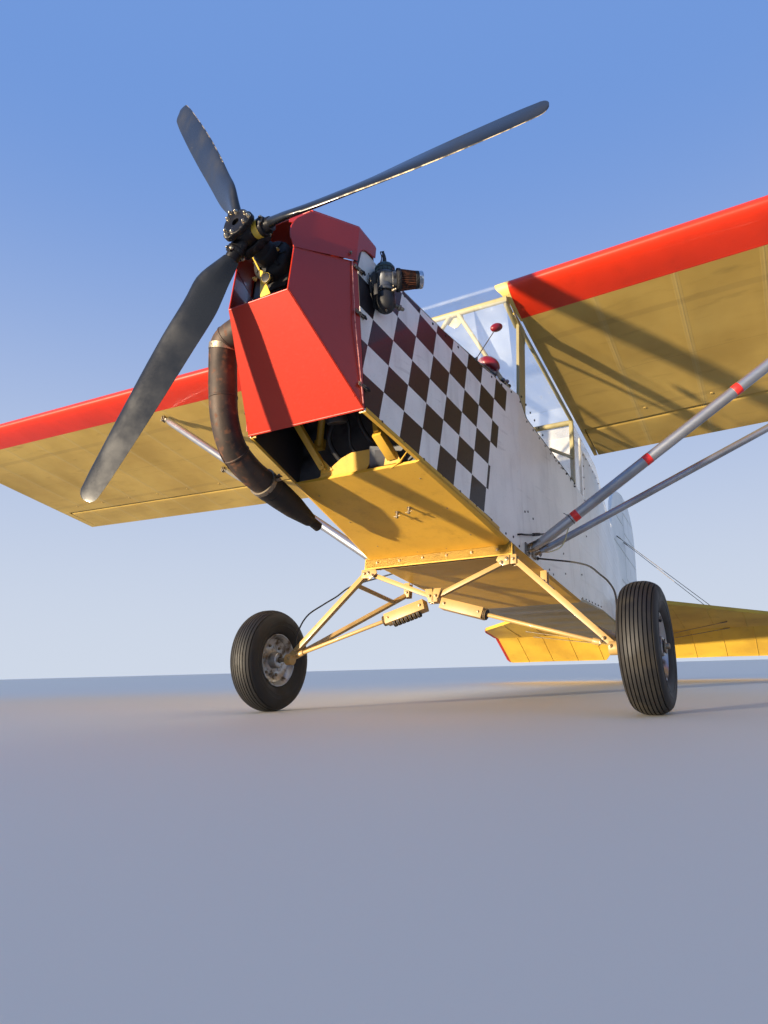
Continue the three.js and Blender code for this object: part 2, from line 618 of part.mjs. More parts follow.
// Flat surface of the tail: an outline in its own plane, thinned along the rim
function tailPlate(outline, thickness, rim, place) {
  const middle = outline.reduce((sum, [a, b]) => [
    sum[0] + a / outline.length, sum[1] + b / outline.length], [0, 0]);
  const layer = (inset, depth) => outline.map(([a, b]) => {
    const reach = hypot(a - middle[0], b - middle[1]);
    const share = 1 - inset / reach;
    return place(middle[0] + (a - middle[0]) * share, middle[1] + (b - middle[1]) * share, depth);
  });
  const half = thickness / 2;
  return loft([layer(rim, -half), layer(0, -half * 0.35), layer(0, half * 0.35), layer(rim, half)]);
}

// Outlines of the tail surfaces run [y, z] for the upright ones and [x, y] for the level ones
const upright = (y, z, depth) => v(depth, y, z);
const finFoot = (y) => lerp(TAIL_STATIONS[2].top, TAIL_STATIONS[3].top,
  (y - TAIL_STATIONS[2].y) / (STERNPOST_Y - TAIL_STATIONS[2].y)) + FIT;
const fin = tailPlate([
  [4330, finFoot(4330)], [4335, 640], [4362, 800], [4430, 1030], [4560, 1160], [4700, 1226],
  [4866, 1262], [4866, 40], [STERNPOST_Y + 1, 40], [STERNPOST_Y + 1, finFoot(STERNPOST_Y)],
], TAIL.thickness, TAIL.rim * 0.2, upright);
const sternpost = bar(v(0, 4842, -105), v(0, 4842, 60), 14, 10);
finish('fin', join(fin, sternpost), WHITE, 0.4);
finish('rudder', tailPlate([
  [TAIL.rudderAxisY - 12, -88], [TAIL.rudderAxisY - 12, 1262], [5010, 1262], [5160, 1218],
  [5270, 1120], [5330, 970], [5345, 780], [5345, 260], [5290, 90], [5140, -40], [5000, -88],
], TAIL.thickness, TAIL.rim, upright), WHITE, 0.4);

const STABILISER = { tipX: 1120, rootY: 3750, tipY: 4452, rearY: 4730 };
const tailHalf = (y) => lerp(TAIL_STATIONS[2].half, TAIL_STATIONS[3].half,
  (y - TAIL_STATIONS[2].y) / (STERNPOST_Y - TAIL_STATIONS[2].y)) + 1;
for (const side of SIDES) {
  const s = side.sign;
  const level = (x, y, depth) => v(s * x, y, TAIL.elevatorZ + depth);
  finish(`stabiliser_${side.name}`, tailPlate([
    [tailHalf(STABILISER.rootY), STABILISER.rootY], [STABILISER.tipX - 70, STABILISER.tipY - 48],
    [STABILISER.tipX - 12, STABILISER.tipY + 18], [STABILISER.tipX, STABILISER.tipY + 60],
    [STABILISER.tipX, STABILISER.rearY], [tailHalf(STABILISER.rearY), STABILISER.rearY],
  ], TAIL.thickness - 2, 1, level), FABRIC, 0.7);
}
{
  // Both elevator halves on one torque tube, hanging on the down stop
  const axis = v(0, TAIL.elevatorAxisY, TAIL.elevatorZ);
  const chord = 372;
  const half = (s) => tailPlate([
    [62, -6], [STABILISER.tipX, -6], [STABILISER.tipX, chord], [235, chord], [150, chord - 130],
  ], TAIL.thickness - 4, TAIL.rim * 0.5, (x, y, depth) => v(s * x, y, depth));
  const tube = bar(v(-90, 0, 0), v(90, 0, 0), 10, 10);
  const elevator = join(half(1), half(-1), tube)
    .rotateX(-TAIL.elevatorDroop)
    .translate(axis.x, axis.y, axis.z);
  finish('elevator', elevator, FABRIC, 0.7);
}

// Main undercarriage
for (const side of SIDES) {
  const s = side.sign;
  const hub = (dy) => v(s * 636, AXLE.y + dy, AXLE.z + 8);
  const front = v(s * (GEAR_FITTING.x + 10), GEAR_FITTING.frontY, GEAR_FITTING.z - 26);
  const rear = v(s * (GEAR_FITTING.x + 4), GEAR_FITTING.rearY, GEAR_FITTING.z - 6);
  const lug = (y, high, low) => box(
    s > 0 ? 294 : -320, s > 0 ? 320 : -294, y - 13, y + 13, low, high);
  finish(`gear_leg_${side.name}`, join(
    bar(front, hub(0), 14, 10),
    bar(rear, hub(14), 12, 10),
    bar(v(s * 350, 1224, -592), v(s * 350, 1540, -580), 9, 8),
    lug(GEAR_FITTING.frontY, -537, -572),
    lug(GEAR_FITTING.rearY, -488, -552),
    bar(v(s * 622, AXLE.y, AXLE.z), v(s * 800, AXLE.y, AXLE.z), 9, 12),
    bar(v(s * 620, AXLE.y, AXLE.z), v(s * 652, AXLE.y, AXLE.z), 22, 12),
  ), CREAM, 0.5, 0.1);

  // Shock unit: a channel box beside the apex and a rod out to the leg's foot
  const APEX = v(0, 1219, -686);
  const foot = v(s * 596, AXLE.y - 2, AXLE.z + 18);
  const along = (mm) => APEX.clone().lerp(foot, mm / APEX.distanceTo(foot));
  finish(`shock_unit_${side.name}`, join(
    bar(along(36), along(205), 31, 4),
    bar(along(204), along(222), 20, 12),
    bar(along(220), along(APEX.distanceTo(foot)), 8, 8),
  ), CREAM, 0.5, 0.1);
}
finish('cabane', join(
  bar(v(264, GEAR_FITTING.frontY, -562), v(6, 1221, -668), 13, 8),
  bar(v(-264, GEAR_FITTING.frontY, -562), v(-6, 1221, -668), 13, 8),
  box(-20, 20, 1203, 1237, -690, -652),
), CREAM, 0.5, 0.1);
finish('gear_crossmember', box(-304, 304, 1204, 1239, -536, -491), CREAM, 0.5, 0.1);

// Wheels stand on the ground outside the tilted airframe
const WHEEL_SIDES = 28;
const wheelHeight = MAIN_TYRE_RADIUS * cos(PI / WHEEL_SIDES);
const groundZ = wheelHeight + AXLE.y * sin(GROUND_ANGLE) - AXLE.z * cos(GROUND_ANGLE);
const toGround = (x, y, z) => v(
  x,
  y * cos(GROUND_ANGLE) + z * sin(GROUND_ANGLE),
  groundZ - y * sin(GROUND_ANGLE) + z * cos(GROUND_ANGLE),
);
// Ring of profile points [axial, radius] turned about the X axis, with a flat underneath
function turned(profile, sides) {
  const points = [...profile, profile[0]].map(([a, r]) => new THREE.Vector2(r, a));
  const ring = new THREE.LatheGeometry(points, sides).rotateY(PI / sides);
  return solid(ring.rotateZ(-PI / 2).rotateX(PI / 2));
}
function tyre(radius, width, rimRadius, sides) {
  const half = width / 2;
  const depth = radius - rimRadius;
  const profile = [
    [-half * 0.62, rimRadius], [-half * 0.96, rimRadius + depth * 0.32],
    [-half, rimRadius + depth * 0.56], [-half * 0.82, rimRadius + depth * 0.82],
    [-half * 0.42, rimRadius + depth * 0.97], [0, radius],
    [half * 0.42, rimRadius + depth * 0.97], [half * 0.82, rimRadius + depth * 0.82],
    [half, rimRadius + depth * 0.56], [half * 0.96, rimRadius + depth * 0.32],
    [half * 0.62, rimRadius],
  ];
  return turned(profile, sides);
}
const RIM_RADIUS = 104;
for (const side of SIDES) {
  const s = side.sign;
  const axle = toGround(s * HALF_TRACK, AXLE.y, AXLE.z);
  const tyreMesh = finish(`tyre_${side.name}`,
    tyre(MAIN_TYRE_RADIUS, MAIN_TYRE_WIDTH, RIM_RADIUS, WHEEL_SIDES), RUBBER, 0.85, 0, aircraft);
  const rimProfile = [
    [-42, RIM_RADIUS - 0.5], [-42, 86], [-12, 78], [-12, 34], [-46, 30], [-46, 13],
    [46, 13], [46, 30], [12, 34], [12, 78], [42, 86], [42, RIM_RADIUS - 0.5],
  ];
  const rimMesh = finish(`rim_${side.name}`, turned(rimProfile, WHEEL_SIDES), ALLOY, 0.35, 0.8, aircraft);
  for (const mesh of [tyreMesh, rimMesh]) mesh.position.copy(axle);
}

// Tailwheel: leaf spring, swivelling fork and small solid tyre
const TAILWHEEL = { pivotY: 4748, trail: 46, plateZ: 152, halfFork: 31, axleRadius: 7, pin: 7 };
{
  // Underside of the fuselage, which the leaf's front end bears on
  const bellyZ = (y) => lerp(TAIL_STATIONS[2].low, TAIL_STATIONS[3].low,
    (y - TAIL_STATIONS[2].y) / (STERNPOST_Y - TAIL_STATIONS[2].y)) - 2;
  const leaf = [
    { y: 4386, drop: 0 }, { y: 4520, drop: 5 }, { y: 4700, drop: 37 },
    { y: 4846, drop: 77 }, { y: 4900, drop: 82 },
  ];
  const rings = leaf.map(({ y, drop }) => {
    const z = bellyZ(y) - drop;
    return [v(-22, y, z), v(22, y, z), v(22, y, z - 9), v(-22, y, z - 9)];
  });
  const pivot = v(0, TAILWHEEL.pivotY, 0);
  const back = (z) => v(0,
    pivot.y * cos(GROUND_ANGLE) - (z - groundZ) * sin(GROUND_ANGLE),
    pivot.y * sin(GROUND_ANGLE) + (z - groundZ) * cos(GROUND_ANGLE));
  finish('tail_spring', cut(loft(rings), bar(back(120), back(240), TAILWHEEL.pin + 3, 12)),
    STEEL, 0.5, 0.6);
}
const TAIL_SIDES = 20;
const tailAxle = v(0, TAILWHEEL.pivotY + TAILWHEEL.trail, TAIL_TYRE_RADIUS * cos(PI / TAIL_SIDES));
{
  const t = TAILWHEEL;
  const cheeks = [1, -1].map((s) => loft([s * t.halfFork, s * (t.halfFork + 6)].map((x) => [
    v(x, t.pivotY - 24, t.plateZ + 7), v(x, tailAxle.y + 22, t.plateZ + 7),
    v(x, tailAxle.y + 14, tailAxle.z - 12), v(x, tailAxle.y - 14, tailAxle.z - 12),
  ])));
  finish('tailwheel_fork', join(
    box(-t.halfFork - 6, t.halfFork + 6, t.pivotY - 24, tailAxle.y + 22, t.plateZ, t.plateZ + 7),
    ...cheeks,
    bar(v(-t.halfFork - 6, tailAxle.y, tailAxle.z), v(t.halfFork + 6, tailAxle.y, tailAxle.z),
      t.axleRadius, 12),
    bar(v(0, t.pivotY, t.plateZ + 3), v(0, t.pivotY, 204), t.pin, 12),
  ), STEEL, 0.5, 0.6, aircraft);
  const profile = [
    [-20, 9.5], [-20, 30], [-22, 44], [-19, 60], [-9, 69], [0, TAIL_TYRE_RADIUS], [9, 69],
    [19, 60], [22, 44], [20, 30], [20, 9.5],
  ];
  finish('tailwheel', turned(profile, TAIL_SIDES), RUBBER, 0.8, 0, aircraft)
    .position.copy(tailAxle);
}

// Propeller: three separate blades clamped between the hub's plates
const HUB = { frontY: -34, rearY: 40, radius: 54, socket: 82, socketRadius: 18 };
const BLADE_ANGLES = [0.6, 120.6, 240.6].map(THREE.MathUtils.degToRad);
// Blade stations: radius, chord, thickness, pitch in degrees, share of chord ahead of the axis
const BLADE = [
  { r: 83, chord: 44, thick: 25, pitch: 42, ahead: 0.5 },
  { r: 113, chord: 60, thick: 23, pitch: 41, ahead: 0.57 },
  { r: 145, chord: 76, thick: 22, pitch: 39, ahead: 0.62 },
  { r: 175, chord: 88, thick: 20, pitch: 37, ahead: 0.62 },
  { r: 235, chord: 94, thick: 18, pitch: 33, ahead: 0.56 },
  { r: 350, chord: 96, thick: 15, pitch: 28.5, ahead: 0.57 },
  { r: 520, chord: 92, thick: 11, pitch: 21, ahead: 0.55 },
  { r: 690, chord: 80, thick: 7, pitch: 16, ahead: 0.52 },
  { r: 790, chord: 66, thick: 5, pitch: 14, ahead: 0.5 },
  { r: PROP_RADIUS, chord: 44, thick: 3.5, pitch: 13, ahead: 0.5 },
];
// Outline of a blade section: share of chord from the leading edge, share of thickness
const BLADE_SECTION = [
  { u: 0, t: 0 }, { u: 0.06, t: 0.36 }, { u: 0.3, t: 0.62 }, { u: 0.65, t: 0.42 }, { u: 1, t: 0.05 },
  { u: 0.7, t: -0.22 }, { u: 0.3, t: -0.38 }, { u: 0.06, t: -0.24 },
];
const radial = (angle) => v(cos(angle), 0, sin(angle));
const sockets = BLADE_ANGLES.map((angle) => bar(
  radial(angle).multiplyScalar(30), radial(angle).multiplyScalar(HUB.socket), HUB.socketRadius, 12));
finish('propeller_hub', join(
  bar(v(0, HUB.rearY, 0), v(0, HUB.frontY, 0), HUB.radius, 18),
  bar(v(0, HUB.frontY + 2, 0), v(0, HUB.frontY - 16, 0), 36, 12),
  ...sockets,
), BLACK, 0.45, 0.6);
BLADE_ANGLES.forEach((angle, index) => {
  const out = radial(angle);
  const tangent = v(-sin(angle), 0, cos(angle));
  const rings = BLADE.map(({ r, chord, thick, pitch, ahead }) => {
    const beta = THREE.MathUtils.degToRad(pitch);
    const chordwise = tangent.clone().multiplyScalar(cos(beta)).add(v(0, sin(beta), 0));
    const forward = v(0, -cos(beta), 0).add(tangent.clone().multiplyScalar(sin(beta)));
    return BLADE_SECTION.map(({ u, t }) => out.clone().multiplyScalar(r)
      .addScaledVector(chordwise, (u - ahead) * chord)
      .addScaledVector(forward, t * thick));
  });
  finish(`propeller_blade_${index + 1}`, loft(rings), BLACK, 0.35);
});

// Set the airframe nose-up, and centre the whole aircraft on its ground rectangle
airframe.rotation.x = -GROUND_ANGLE;
airframe.position.z = groundZ;
aircraft.add(airframe);
aircraft.updateMatrixWorld(true);
const reach = new THREE.Box3().setFromObject(aircraft, true);
aircraft.position.y = -(reach.min.y + reach.max.y) / 2;

const group = new THREE.Group();
group.add(aircraft);
export default group;
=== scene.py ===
import bmesh
import bpy
from math import cos, hypot, pi, radians, sin, sqrt, tan
from mathutils import Matrix, Vector
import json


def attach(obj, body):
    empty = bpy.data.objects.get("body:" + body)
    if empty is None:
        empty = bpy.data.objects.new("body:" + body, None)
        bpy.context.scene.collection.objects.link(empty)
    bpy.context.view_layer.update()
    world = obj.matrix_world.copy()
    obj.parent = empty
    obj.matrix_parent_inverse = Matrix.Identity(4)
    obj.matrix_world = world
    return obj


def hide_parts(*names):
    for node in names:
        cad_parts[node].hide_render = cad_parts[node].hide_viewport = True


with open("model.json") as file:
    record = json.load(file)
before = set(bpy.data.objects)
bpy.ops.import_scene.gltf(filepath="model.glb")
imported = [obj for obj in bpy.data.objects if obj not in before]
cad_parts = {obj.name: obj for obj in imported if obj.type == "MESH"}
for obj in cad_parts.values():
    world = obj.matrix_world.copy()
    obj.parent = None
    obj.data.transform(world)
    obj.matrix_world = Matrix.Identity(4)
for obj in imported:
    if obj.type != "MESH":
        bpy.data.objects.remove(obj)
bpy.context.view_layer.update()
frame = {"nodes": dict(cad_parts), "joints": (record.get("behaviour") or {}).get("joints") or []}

# Camera, low in front of the aircraft's left side, close enough to make the nose large.
# The lens is given by the photo's focal length in pixels of its longer side.
camera_data = bpy.data.cameras.new("photo_camera")
camera = bpy.data.objects.new("photo_camera", camera_data)
bpy.context.collection.objects.link(camera)
camera_data.sensor_fit = "AUTO"
camera_data.sensor_width = 36.0
camera_data.lens = 690.57 * camera_data.sensor_width / 1024
camera_data.clip_start = 0.05
camera_data.clip_end = 60.0
camera_place = Vector((1.1002, -3.8921, 0.1608))
camera_forward = Vector((-0.4777, 0.8507, 0.2196)).normalized()
camera_up = Vector((0.1307, -0.1783, 0.9753))
camera_right = camera_forward.cross(camera_up).normalized()
camera_up = camera_right.cross(camera_forward)
turn = Matrix((camera_right, camera_up, -camera_forward)).transposed()
camera.matrix_world = Matrix.Translation(camera_place) @ turn.to_4x4()
bpy.context.scene.camera = camera

# Side panels: painted aluminium sheets from the cowl to the rear of the cabin, with a chequered
# nose. They are screwed to the tube frame. Everything that follows is set out as they are, in
# millimetres to the left, aft of the propeller disc and above the thrust line.
joints = {joint["name"]: joint for joint in frame["joints"]}
thrust_origin = Vector(joints["propeller_spin"]["pos_m"])
left = Vector((1, 0, 0))
aft = Vector(joints["propeller_spin"]["axis"]).normalized()
if aft.y < 0:
    aft = -aft
up = left.cross(aft)


def at(x, y, z):
    """A place on the airframe, in metres of the shared frame."""
    return thrust_origin + (left * x + aft * y + up * z) / 1000


def tint(red, green, blue):
    """A paint colour from its 0 to 255 values on a screen."""
    return tuple(
        ((c / 255 + 0.055) / 1.055) ** 2.4 if c > 10 else c / 3295 for c in (red, green, blue)) + (1.0,)


class Wire:
    """A shader socket that can stand in a sum, so a finish reads as plain expressions."""

    def __init__(self, tree, socket=None):
        self.tree = tree
        self.socket = socket

    def node(self, kind, settings, sockets, output=0):
        """Adds a node: settings first, then a value or wire for each socket, then one output."""
        made = self.tree.nodes.new("ShaderNode" + kind)
        for name, value in settings.items():
            setattr(made, name, value)
        for name, value in sockets.items():
            if isinstance(value, Wire):
                self.tree.links.new(value.socket, made.inputs[name])
            else:
                made.inputs[name].default_value = value
        return Wire(self.tree, made.outputs[output])

    def maths(self, operation, *terms):
        return self.node("Math", {"operation": operation}, dict(enumerate(terms)))

    def __add__(self, other):
        return self.maths("ADD", self, other)

    def __radd__(self, other):
        return self.maths("ADD", other, self)

    def __sub__(self, other):
        return self.maths("SUBTRACT", self, other)

    def __rsub__(self, other):
        return self.maths("SUBTRACT", other, self)

    def __mul__(self, other):
        return self.maths("MULTIPLY", self, other)

    def __rmul__(self, other):
        return self.maths("MULTIPLY", other, self)

    def __truediv__(self, other):
        return self.maths("DIVIDE", self, other)

    def __gt__(self, other):
        return self.maths("GREATER_THAN", self, other)

    def __lt__(self, other):
        return self.maths("LESS_THAN", self, other)

    def __mod__(self, other):
        return self.maths("FLOORED_MODULO", self, other)

    def __abs__(self):
        return self.maths("ABSOLUTE", self)

    def floor(self):
        return self.maths("FLOOR", self)

    def grade(self, low, high, start=0.0, end=1.0):
        """Runs from start to end while this value runs from low to high."""
        return self.node("MapRange", {"interpolation_type": "SMOOTHSTEP"}, {
            "Value": self, "From Min": low, "From Max": high, "To Min": start, "To Max": end})

    def near(self, value, width):
        """1 at the value, down to 0 at a distance of width."""
        return abs(self - value).grade(width, width * 0.5)


class Finish:
    """One finish of the aircraft: a shader, body directions to paint by, and its grain."""

    def __init__(self, name, colour, roughness=0.5, metallic=0.0, coat=0.0, alpha=1.0):
        self.material = bpy.data.materials.new(name)
        self.material.use_nodes = True
        tree = self.material.node_tree
        self.shader = tree.nodes["Principled BSDF"]
        self.tree = tree
        self.set("Base Color", colour)
        self.set("Roughness", roughness)
        self.set("Metallic", metallic)
        self.set("Coat Weight", coat)
        self.set("Coat Roughness", 0.06)
        self.set("Alpha", alpha)
        self.place = Wire(tree).node("TexCoord", {}, {}, "Object")
        moved = self.vector("SUBTRACT", self.place, thrust_origin)
        self.x, self.y, self.z = [
            self.vector("DOT_PRODUCT", moved, direction * 1000, "Value") for direction in (left, aft, up)]

    def vector(self, operation, first, second, output=0):
        return Wire(self.tree).node("VectorMath", {"operation": operation}, {0: first, 1: second}, output)

    def set(self, name, value):
        if isinstance(value, Wire):
            self.tree.links.new(value.socket, self.shader.inputs[name])
        else:
            self.shader.inputs[name].default_value = value

    def noise(self, size, detail=3.0, stretch=(1, 1, 1)):
        """Grain of the size in millimetres, longer along a direction whose stretch is small."""
        place = self.place if stretch == (1, 1, 1) else self.vector("MULTIPLY", self.place, stretch)
        return Wire(self.tree).node("TexNoise", {}, {
            "Vector": place, "Scale": 1000 / size, "Detail": detail, "Roughness": 0.55})

    def specks(self, size, share):
        """Small round spots, size in millimetres, on the given share of the places."""
        distance = Wire(self.tree).node(
            "TexVoronoi", {}, {"Vector": self.place, "Scale": 1000 / size}, "Distance")
        return distance.grade(share, share * 0.5)

    def mix(self, mask, under, over):
        """The colour under, painted with the colour over where the mask is 1."""
        return Wire(self.tree).node("Mix", {"data_type": "RGBA"}, {0: mask, 6: under, 7: over}, 2)

    def relief(self, height, depth):
        """Raises the surface by the height times the depth in millimetres."""
        bump = Wire(self.tree).node(
            "Bump", {}, {"Height": height, "Distance": depth / 1000, "Strength": 1.0})
        self.set("Normal", bump)

    def dress(self, *nodes):
        """Gives this finish to CAD nodes that are shown as they are."""
        for name in nodes:
            mesh = frame["nodes"][name].data
            mesh.materials.clear()
            mesh.materials.append(self.material)


def paint(name, colour, roughness=0.3, coat=0.4, dirt=0.35, soil=tint(92, 74, 52), orange_peel=0.12):
    """Sprayed enamel: slight unevenness of tone, fine dust, dull patches and orange peel."""
    finish = Finish(name, colour, roughness, coat=coat)
    cloud = finish.noise(420, 4)
    streak = finish.noise(60, 5, (1, 1, 0.15))
    dust = finish.noise(7, 3).grade(0.56, 0.8)
    darker = tuple(c * 0.84 for c in colour[:3]) + (1.0,)
    tone = finish.mix(cloud.grade(0.35, 0.7), colour, darker)
    soiled = finish.mix((streak.grade(0.5, 0.78) * 0.4 + dust * 0.3) * dirt, tone, soil)
    finish.set("Base Color", soiled)
    finish.set("Roughness", roughness + cloud * 0.1 + dust * 0.18)
    finish.relief(finish.noise(5, 2), orange_peel)
    finish.tone = soiled
    return finish


def smooth_line(points, steps):
    """Points of a smooth curve through the given ones."""
    points = [Vector(p) for p in points]
    ends = [points[0] * 2 - points[1]] + points + [points[-1] * 2 - points[-2]]
    line = []
    for a, b, c, d in zip(ends, ends[1:], ends[2:], ends[3:]):
        for k in range(steps):
            t = k / steps
            line.append((
                (b * 2) + (c - a) * t + (a * 2 - b * 5 + c * 4 - d) * t ** 2 + (b * 3 - a - c * 3
                + d) * t ** 3) / 2)
    return line + [points[-1]]


class Shape:
    """The faces of one piece, gathered in body millimetres before they become a mesh."""

    def __init__(self):
        self.points = []
        self.faces = []
        self.marks = []
        self.mark = 0

    def add(self, points, faces):
        first = len(self.points)
        self.points += [Vector(p) for p in points]
        self.faces += [[first + i for i in face] for face in faces]
        self.marks += [self.mark] * len(faces)

    def skin(self, rings, ends=True, closed=True, loop=False):
        """Faces through rings of equal point count."""
        count = len(rings[0])
        spans = len(rings) if loop else len(rings) - 1
        faces = []
        for r in range(spans):
            low, high = r * count, (r + 1) % len(rings) * count
            for i in range(count if closed else count - 1):
                j = (i + 1) % count
                faces.append((low + i, low + j, high + j, high + i))
        if ends:
            faces.append(range(count - 1, -1, -1))
            faces.append(range(len(rings) * count - count, len(rings) * count))
        self.add([p for ring in rings for p in ring], faces)

    def tube(self, path, radius, sides=12, across=None, flat=1.0, turn=0.0):
        """A bar along a line: one radius, or one for each point; flat thins it across."""
        path = [Vector(p) for p in path]
        radii = radius if isinstance(radius, (list, tuple)) else [radius] * len(path)
        side = Vector(across) if across else None
        rings = []
        for i, (point, reach) in enumerate(zip(path, radii)):
            heading = (path[min(i + 1, len(path) - 1)] - path[max(i - 1, 0)]).normalized()
            if side is None:
                side = heading.orthogonal()
            side = (side - heading * side.dot(heading)).normalized()
            other = heading.cross(side) * flat
            angles = [turn + 2 * pi * k / sides for k in range(sides)]
            rings.append([point + (side * cos(a) + other * sin(a)) * reach for a in angles])
        self.skin(rings)

    def square(self, start, end, width, across=(0, 1, 0)):
        """A square bar, with two of its faces square to across."""
        self.tube([start, end], width / sqrt(2), 4, across, turn=pi / 4)

    def turned(self, centre, axis, profile, sides=24, loop=False):
        """A turned solid: profile pairs are distance along the axis and radius."""
        axis = Vector(axis).normalized()
        side = axis.orthogonal().normalized()
        other = axis.cross(side)
        self.skin([[Vector(centre) + axis * along + (
            side * cos(2 * pi * k / sides) + other * sin(2 * pi * k / sides)) * radius
            for k in range(sides)] for along, radius in profile], ends=not loop, loop=loop)

    def slab(self, outline, depth):
        """A plate: outline points in order, carried along the depth vector."""
        outline = [Vector(p) for p in outline]
        self.skin([outline, [p + Vector(depth) for p in outline]])

    def block(self, low, high):
        (x0, y0, z0), (x1, y1, z1) = low, high
        self.slab([(x0, y0, z0), (x1, y0, z0), (x1, y1, z0), (x0, y1, z0)], (0, 0, z1 - z0))

    def bolt(self, place, heading, size=4.0, height=None, stub=0.0):
        """A hexagon head on a washer, with its thread standing on by the stub."""
        place, heading = Vector(place), Vector(heading).normalized()
        height = height or size * 0.8
        self.turned(
            place, heading, [(-size * 0.3, size * 1.25), (0, size * 1.25), (size * 0.22, size * 1.2)], 14)
        self.turned(place, heading, [
            (0, size), (size * 0.3 + height * 0.75, size), (size * 0.3 + height, size * 0.8)], 6)
        if stub:
            self.turned(place, heading, [
                (0, size * 0.5), (height + stub, size * 0.5), (height + stub + 0.5, size * 0.35)], 8)

    def rivet(self, place, heading, size=2.5):
        self.turned(place, heading, [(-0.5, size), (size * 0.25, size * 0.92), (size * 0.5, size * 0.35)], 8)

    def build(self, name, body, slot, finishes, replaces=(), bevel=0.0, angle=35, thick=0.0, place=at):
        """Makes the piece: normals outwards, edges eased, finishes by mark, riding on its body."""
        mesh = bpy.data.meshes.new(name)
        mesh.from_pydata([place(*p) for p in self.points], [], self.faces)
        for finish in finishes:
            mesh.materials.append(finish.material)
        mesh.polygons.foreach_set("material_index", self.marks)
        work = bmesh.new()
        work.from_mesh(mesh)
        bmesh.ops.recalc_face_normals(work, faces=work.faces)
        if thick:
            bmesh.ops.solidify(work, geom=work.faces[:], thickness=thick / 1000)
        if bevel:
            edges = [
                edge for edge in work.edges if len(edge.link_faces) == 2
                and edge.calc_face_angle(0) > radians(angle)]
            bmesh.ops.bevel(
                work, geom=edges, offset=bevel / 1000, segments=2, profile=0.5, affect="EDGES",
                clamp_overlap=True)
        work.to_mesh(mesh)
        work.free()
        mesh.shade_smooth()
        mesh.set_sharp_from_angle(angle=radians(angle))
        piece = bpy.data.objects.new(name, mesh)
        bpy.context.collection.objects.link(piece)
        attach(piece, body)
        if replaces:
            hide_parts(*replaces)
        return piece


nose_y, nose_half, cabin_half, flare = 338, 200, 305.0, 0.1109


def half_width(y):
    """Half the width of the flat-sided body, which flares from the nose to the cabin."""
    return min(cabin_half, nose_half + (y - nose_y) * flare)


side_stations = [
    (345, -402, 92), (628, -428, 98), (1000, -460, 122), (1285, -493, 165), (1375, -489.4, 106),
    (2150, -458, 132)]


def side_edge(y, column):
    """Height of the side's lower (1) or upper (2) edge."""
    for first, second in zip(side_stations, side_stations[1:]):
        if y <= second[0] or second is side_stations[-1]:
            share = (y - first[0]) / (second[0] - first[0])
            return first[column] + (second[column] - first[column]) * share


# Chequers are set out on a slanting grid. Each column i runs down the side, and each row j aft.
chequered = paint("chequered_panel", tint(240, 238, 230), roughness=0.42, coat=0.12, dirt=0.5)
aft_of_start = chequered.y - 340.5
below_start = -102.0 - chequered.z
# One step along i goes aft and a little down, one step along j goes down and a little forward
step_aft, step_drop, step_down, step_back = 101.7, 7.94, 96.3, 12.7
cell_area = step_aft * step_down + step_back * step_drop
column = (aft_of_start * step_down + below_start * step_back) / cell_area
row = (below_start * step_aft - aft_of_start * step_drop) / cell_area
dark_cell = ((column.floor() + row.floor()) % 2) < 0.5
# The rear end is jagged: each row of cells stops at its own place
row_end = 7.9 - (row > -1) * 0.4 - (row > 0) * 0.1 - (row > 1) * 0.25 + (row > 2) * 0.45
half_breadth = chequered.y.maths("MINIMUM", (chequered.y - nose_y) * flare + nose_half, cabin_half)
outer_face = abs(chequered.x) > (half_breadth - 4)
painted = (column < row_end) * dark_cell * outer_face
panel_grain = chequered.noise(160, 4)
blue_black = chequered.mix(panel_grain.grade(0.4, 0.7), tint(22, 13, 17), tint(32, 20, 23))
scratch = chequered.noise(34, 4, (1, 0.08, 1)).grade(0.63, 0.72) * 0.35
grubby = chequered.noise(240, 5).grade(0.5, 0.8) * 0.22
pale = chequered.mix(grubby + scratch * 0.5, chequered.tone, tint(120, 116, 112))
# The panel's inner face is near black in the engine bay, as painted shade, and grey in the cabin.
inner_face_bay_shade = chequered.mix(chequered.y > 636, tint(38, 36, 38), tint(140, 142, 144))
chequered.set("Base Color", chequered.mix(outer_face, inner_face_bay_shade, chequered.mix(painted, pale, blue_black)))
seam = chequered.y.near(1285, 2.5) * (chequered.z < 170)
dent = chequered.noise(380, 2)
chequered.relief(dent * 6 + chequered.noise(5, 2) * 0.1 - seam * 0.8 + painted * 0.12, 1.0)
chequered.dress("side_panel_left", "side_panel_right")


def worn(name, metallic, under, over, grain, edge, dull, bump=None, coat=0.0):
    """A finish of two tones: the second stands where the grain (size, detail) passes the edge.

    dull is a roughness, what a finer grain adds to it and that grain's size; bump is a size, a
    detail and a depth."""
    finish = Finish(name, under, dull[0], metallic, coat)
    finish.set("Base Color", finish.mix(finish.noise(*grain).grade(*edge), under, over))
    finish.set("Roughness", dull[0] + finish.noise(*dull[2:]) * dull[1])
    if bump:
        finish.relief(finish.noise(*bump[:2]), bump[2])
    return finish


dark_screw = worn("dark_screw", 0.7, tint(52, 48, 46), tint(96, 70, 48), (6,), (0.5, 0.7), (0.3, 0.3, 3))
both_sides = (("left", 1), ("right", -1))
for name, s in both_sides:
    screws = Shape()
    # Spots seen on the side, then rows along the panel's upper and lower edges
    spots = [
        (1350, -318), (1386, -304), (1448, -310), (1235, -461), (1871, -316), (1651, -458), (1707, -462),
        (1894, -402)]
    spots += [(y, side_edge(y, 2) - 12) for y in range(400, 2140, 82)]
    spots += [(y, side_edge(y, 1) + 12) for y in range(420, 1285, 108)]
    for y, z in spots:
        screws.turned(
            (s * (half_width(y) - 0.5), y, z), (s, 0, 0), [(0, 5), (1.6, 4.6), (2.6, 3.2), (2.0, 1.5)], 10)
    screws.build(f"panel_screws_{name}", "airframe", "black_steel", [dark_screw])

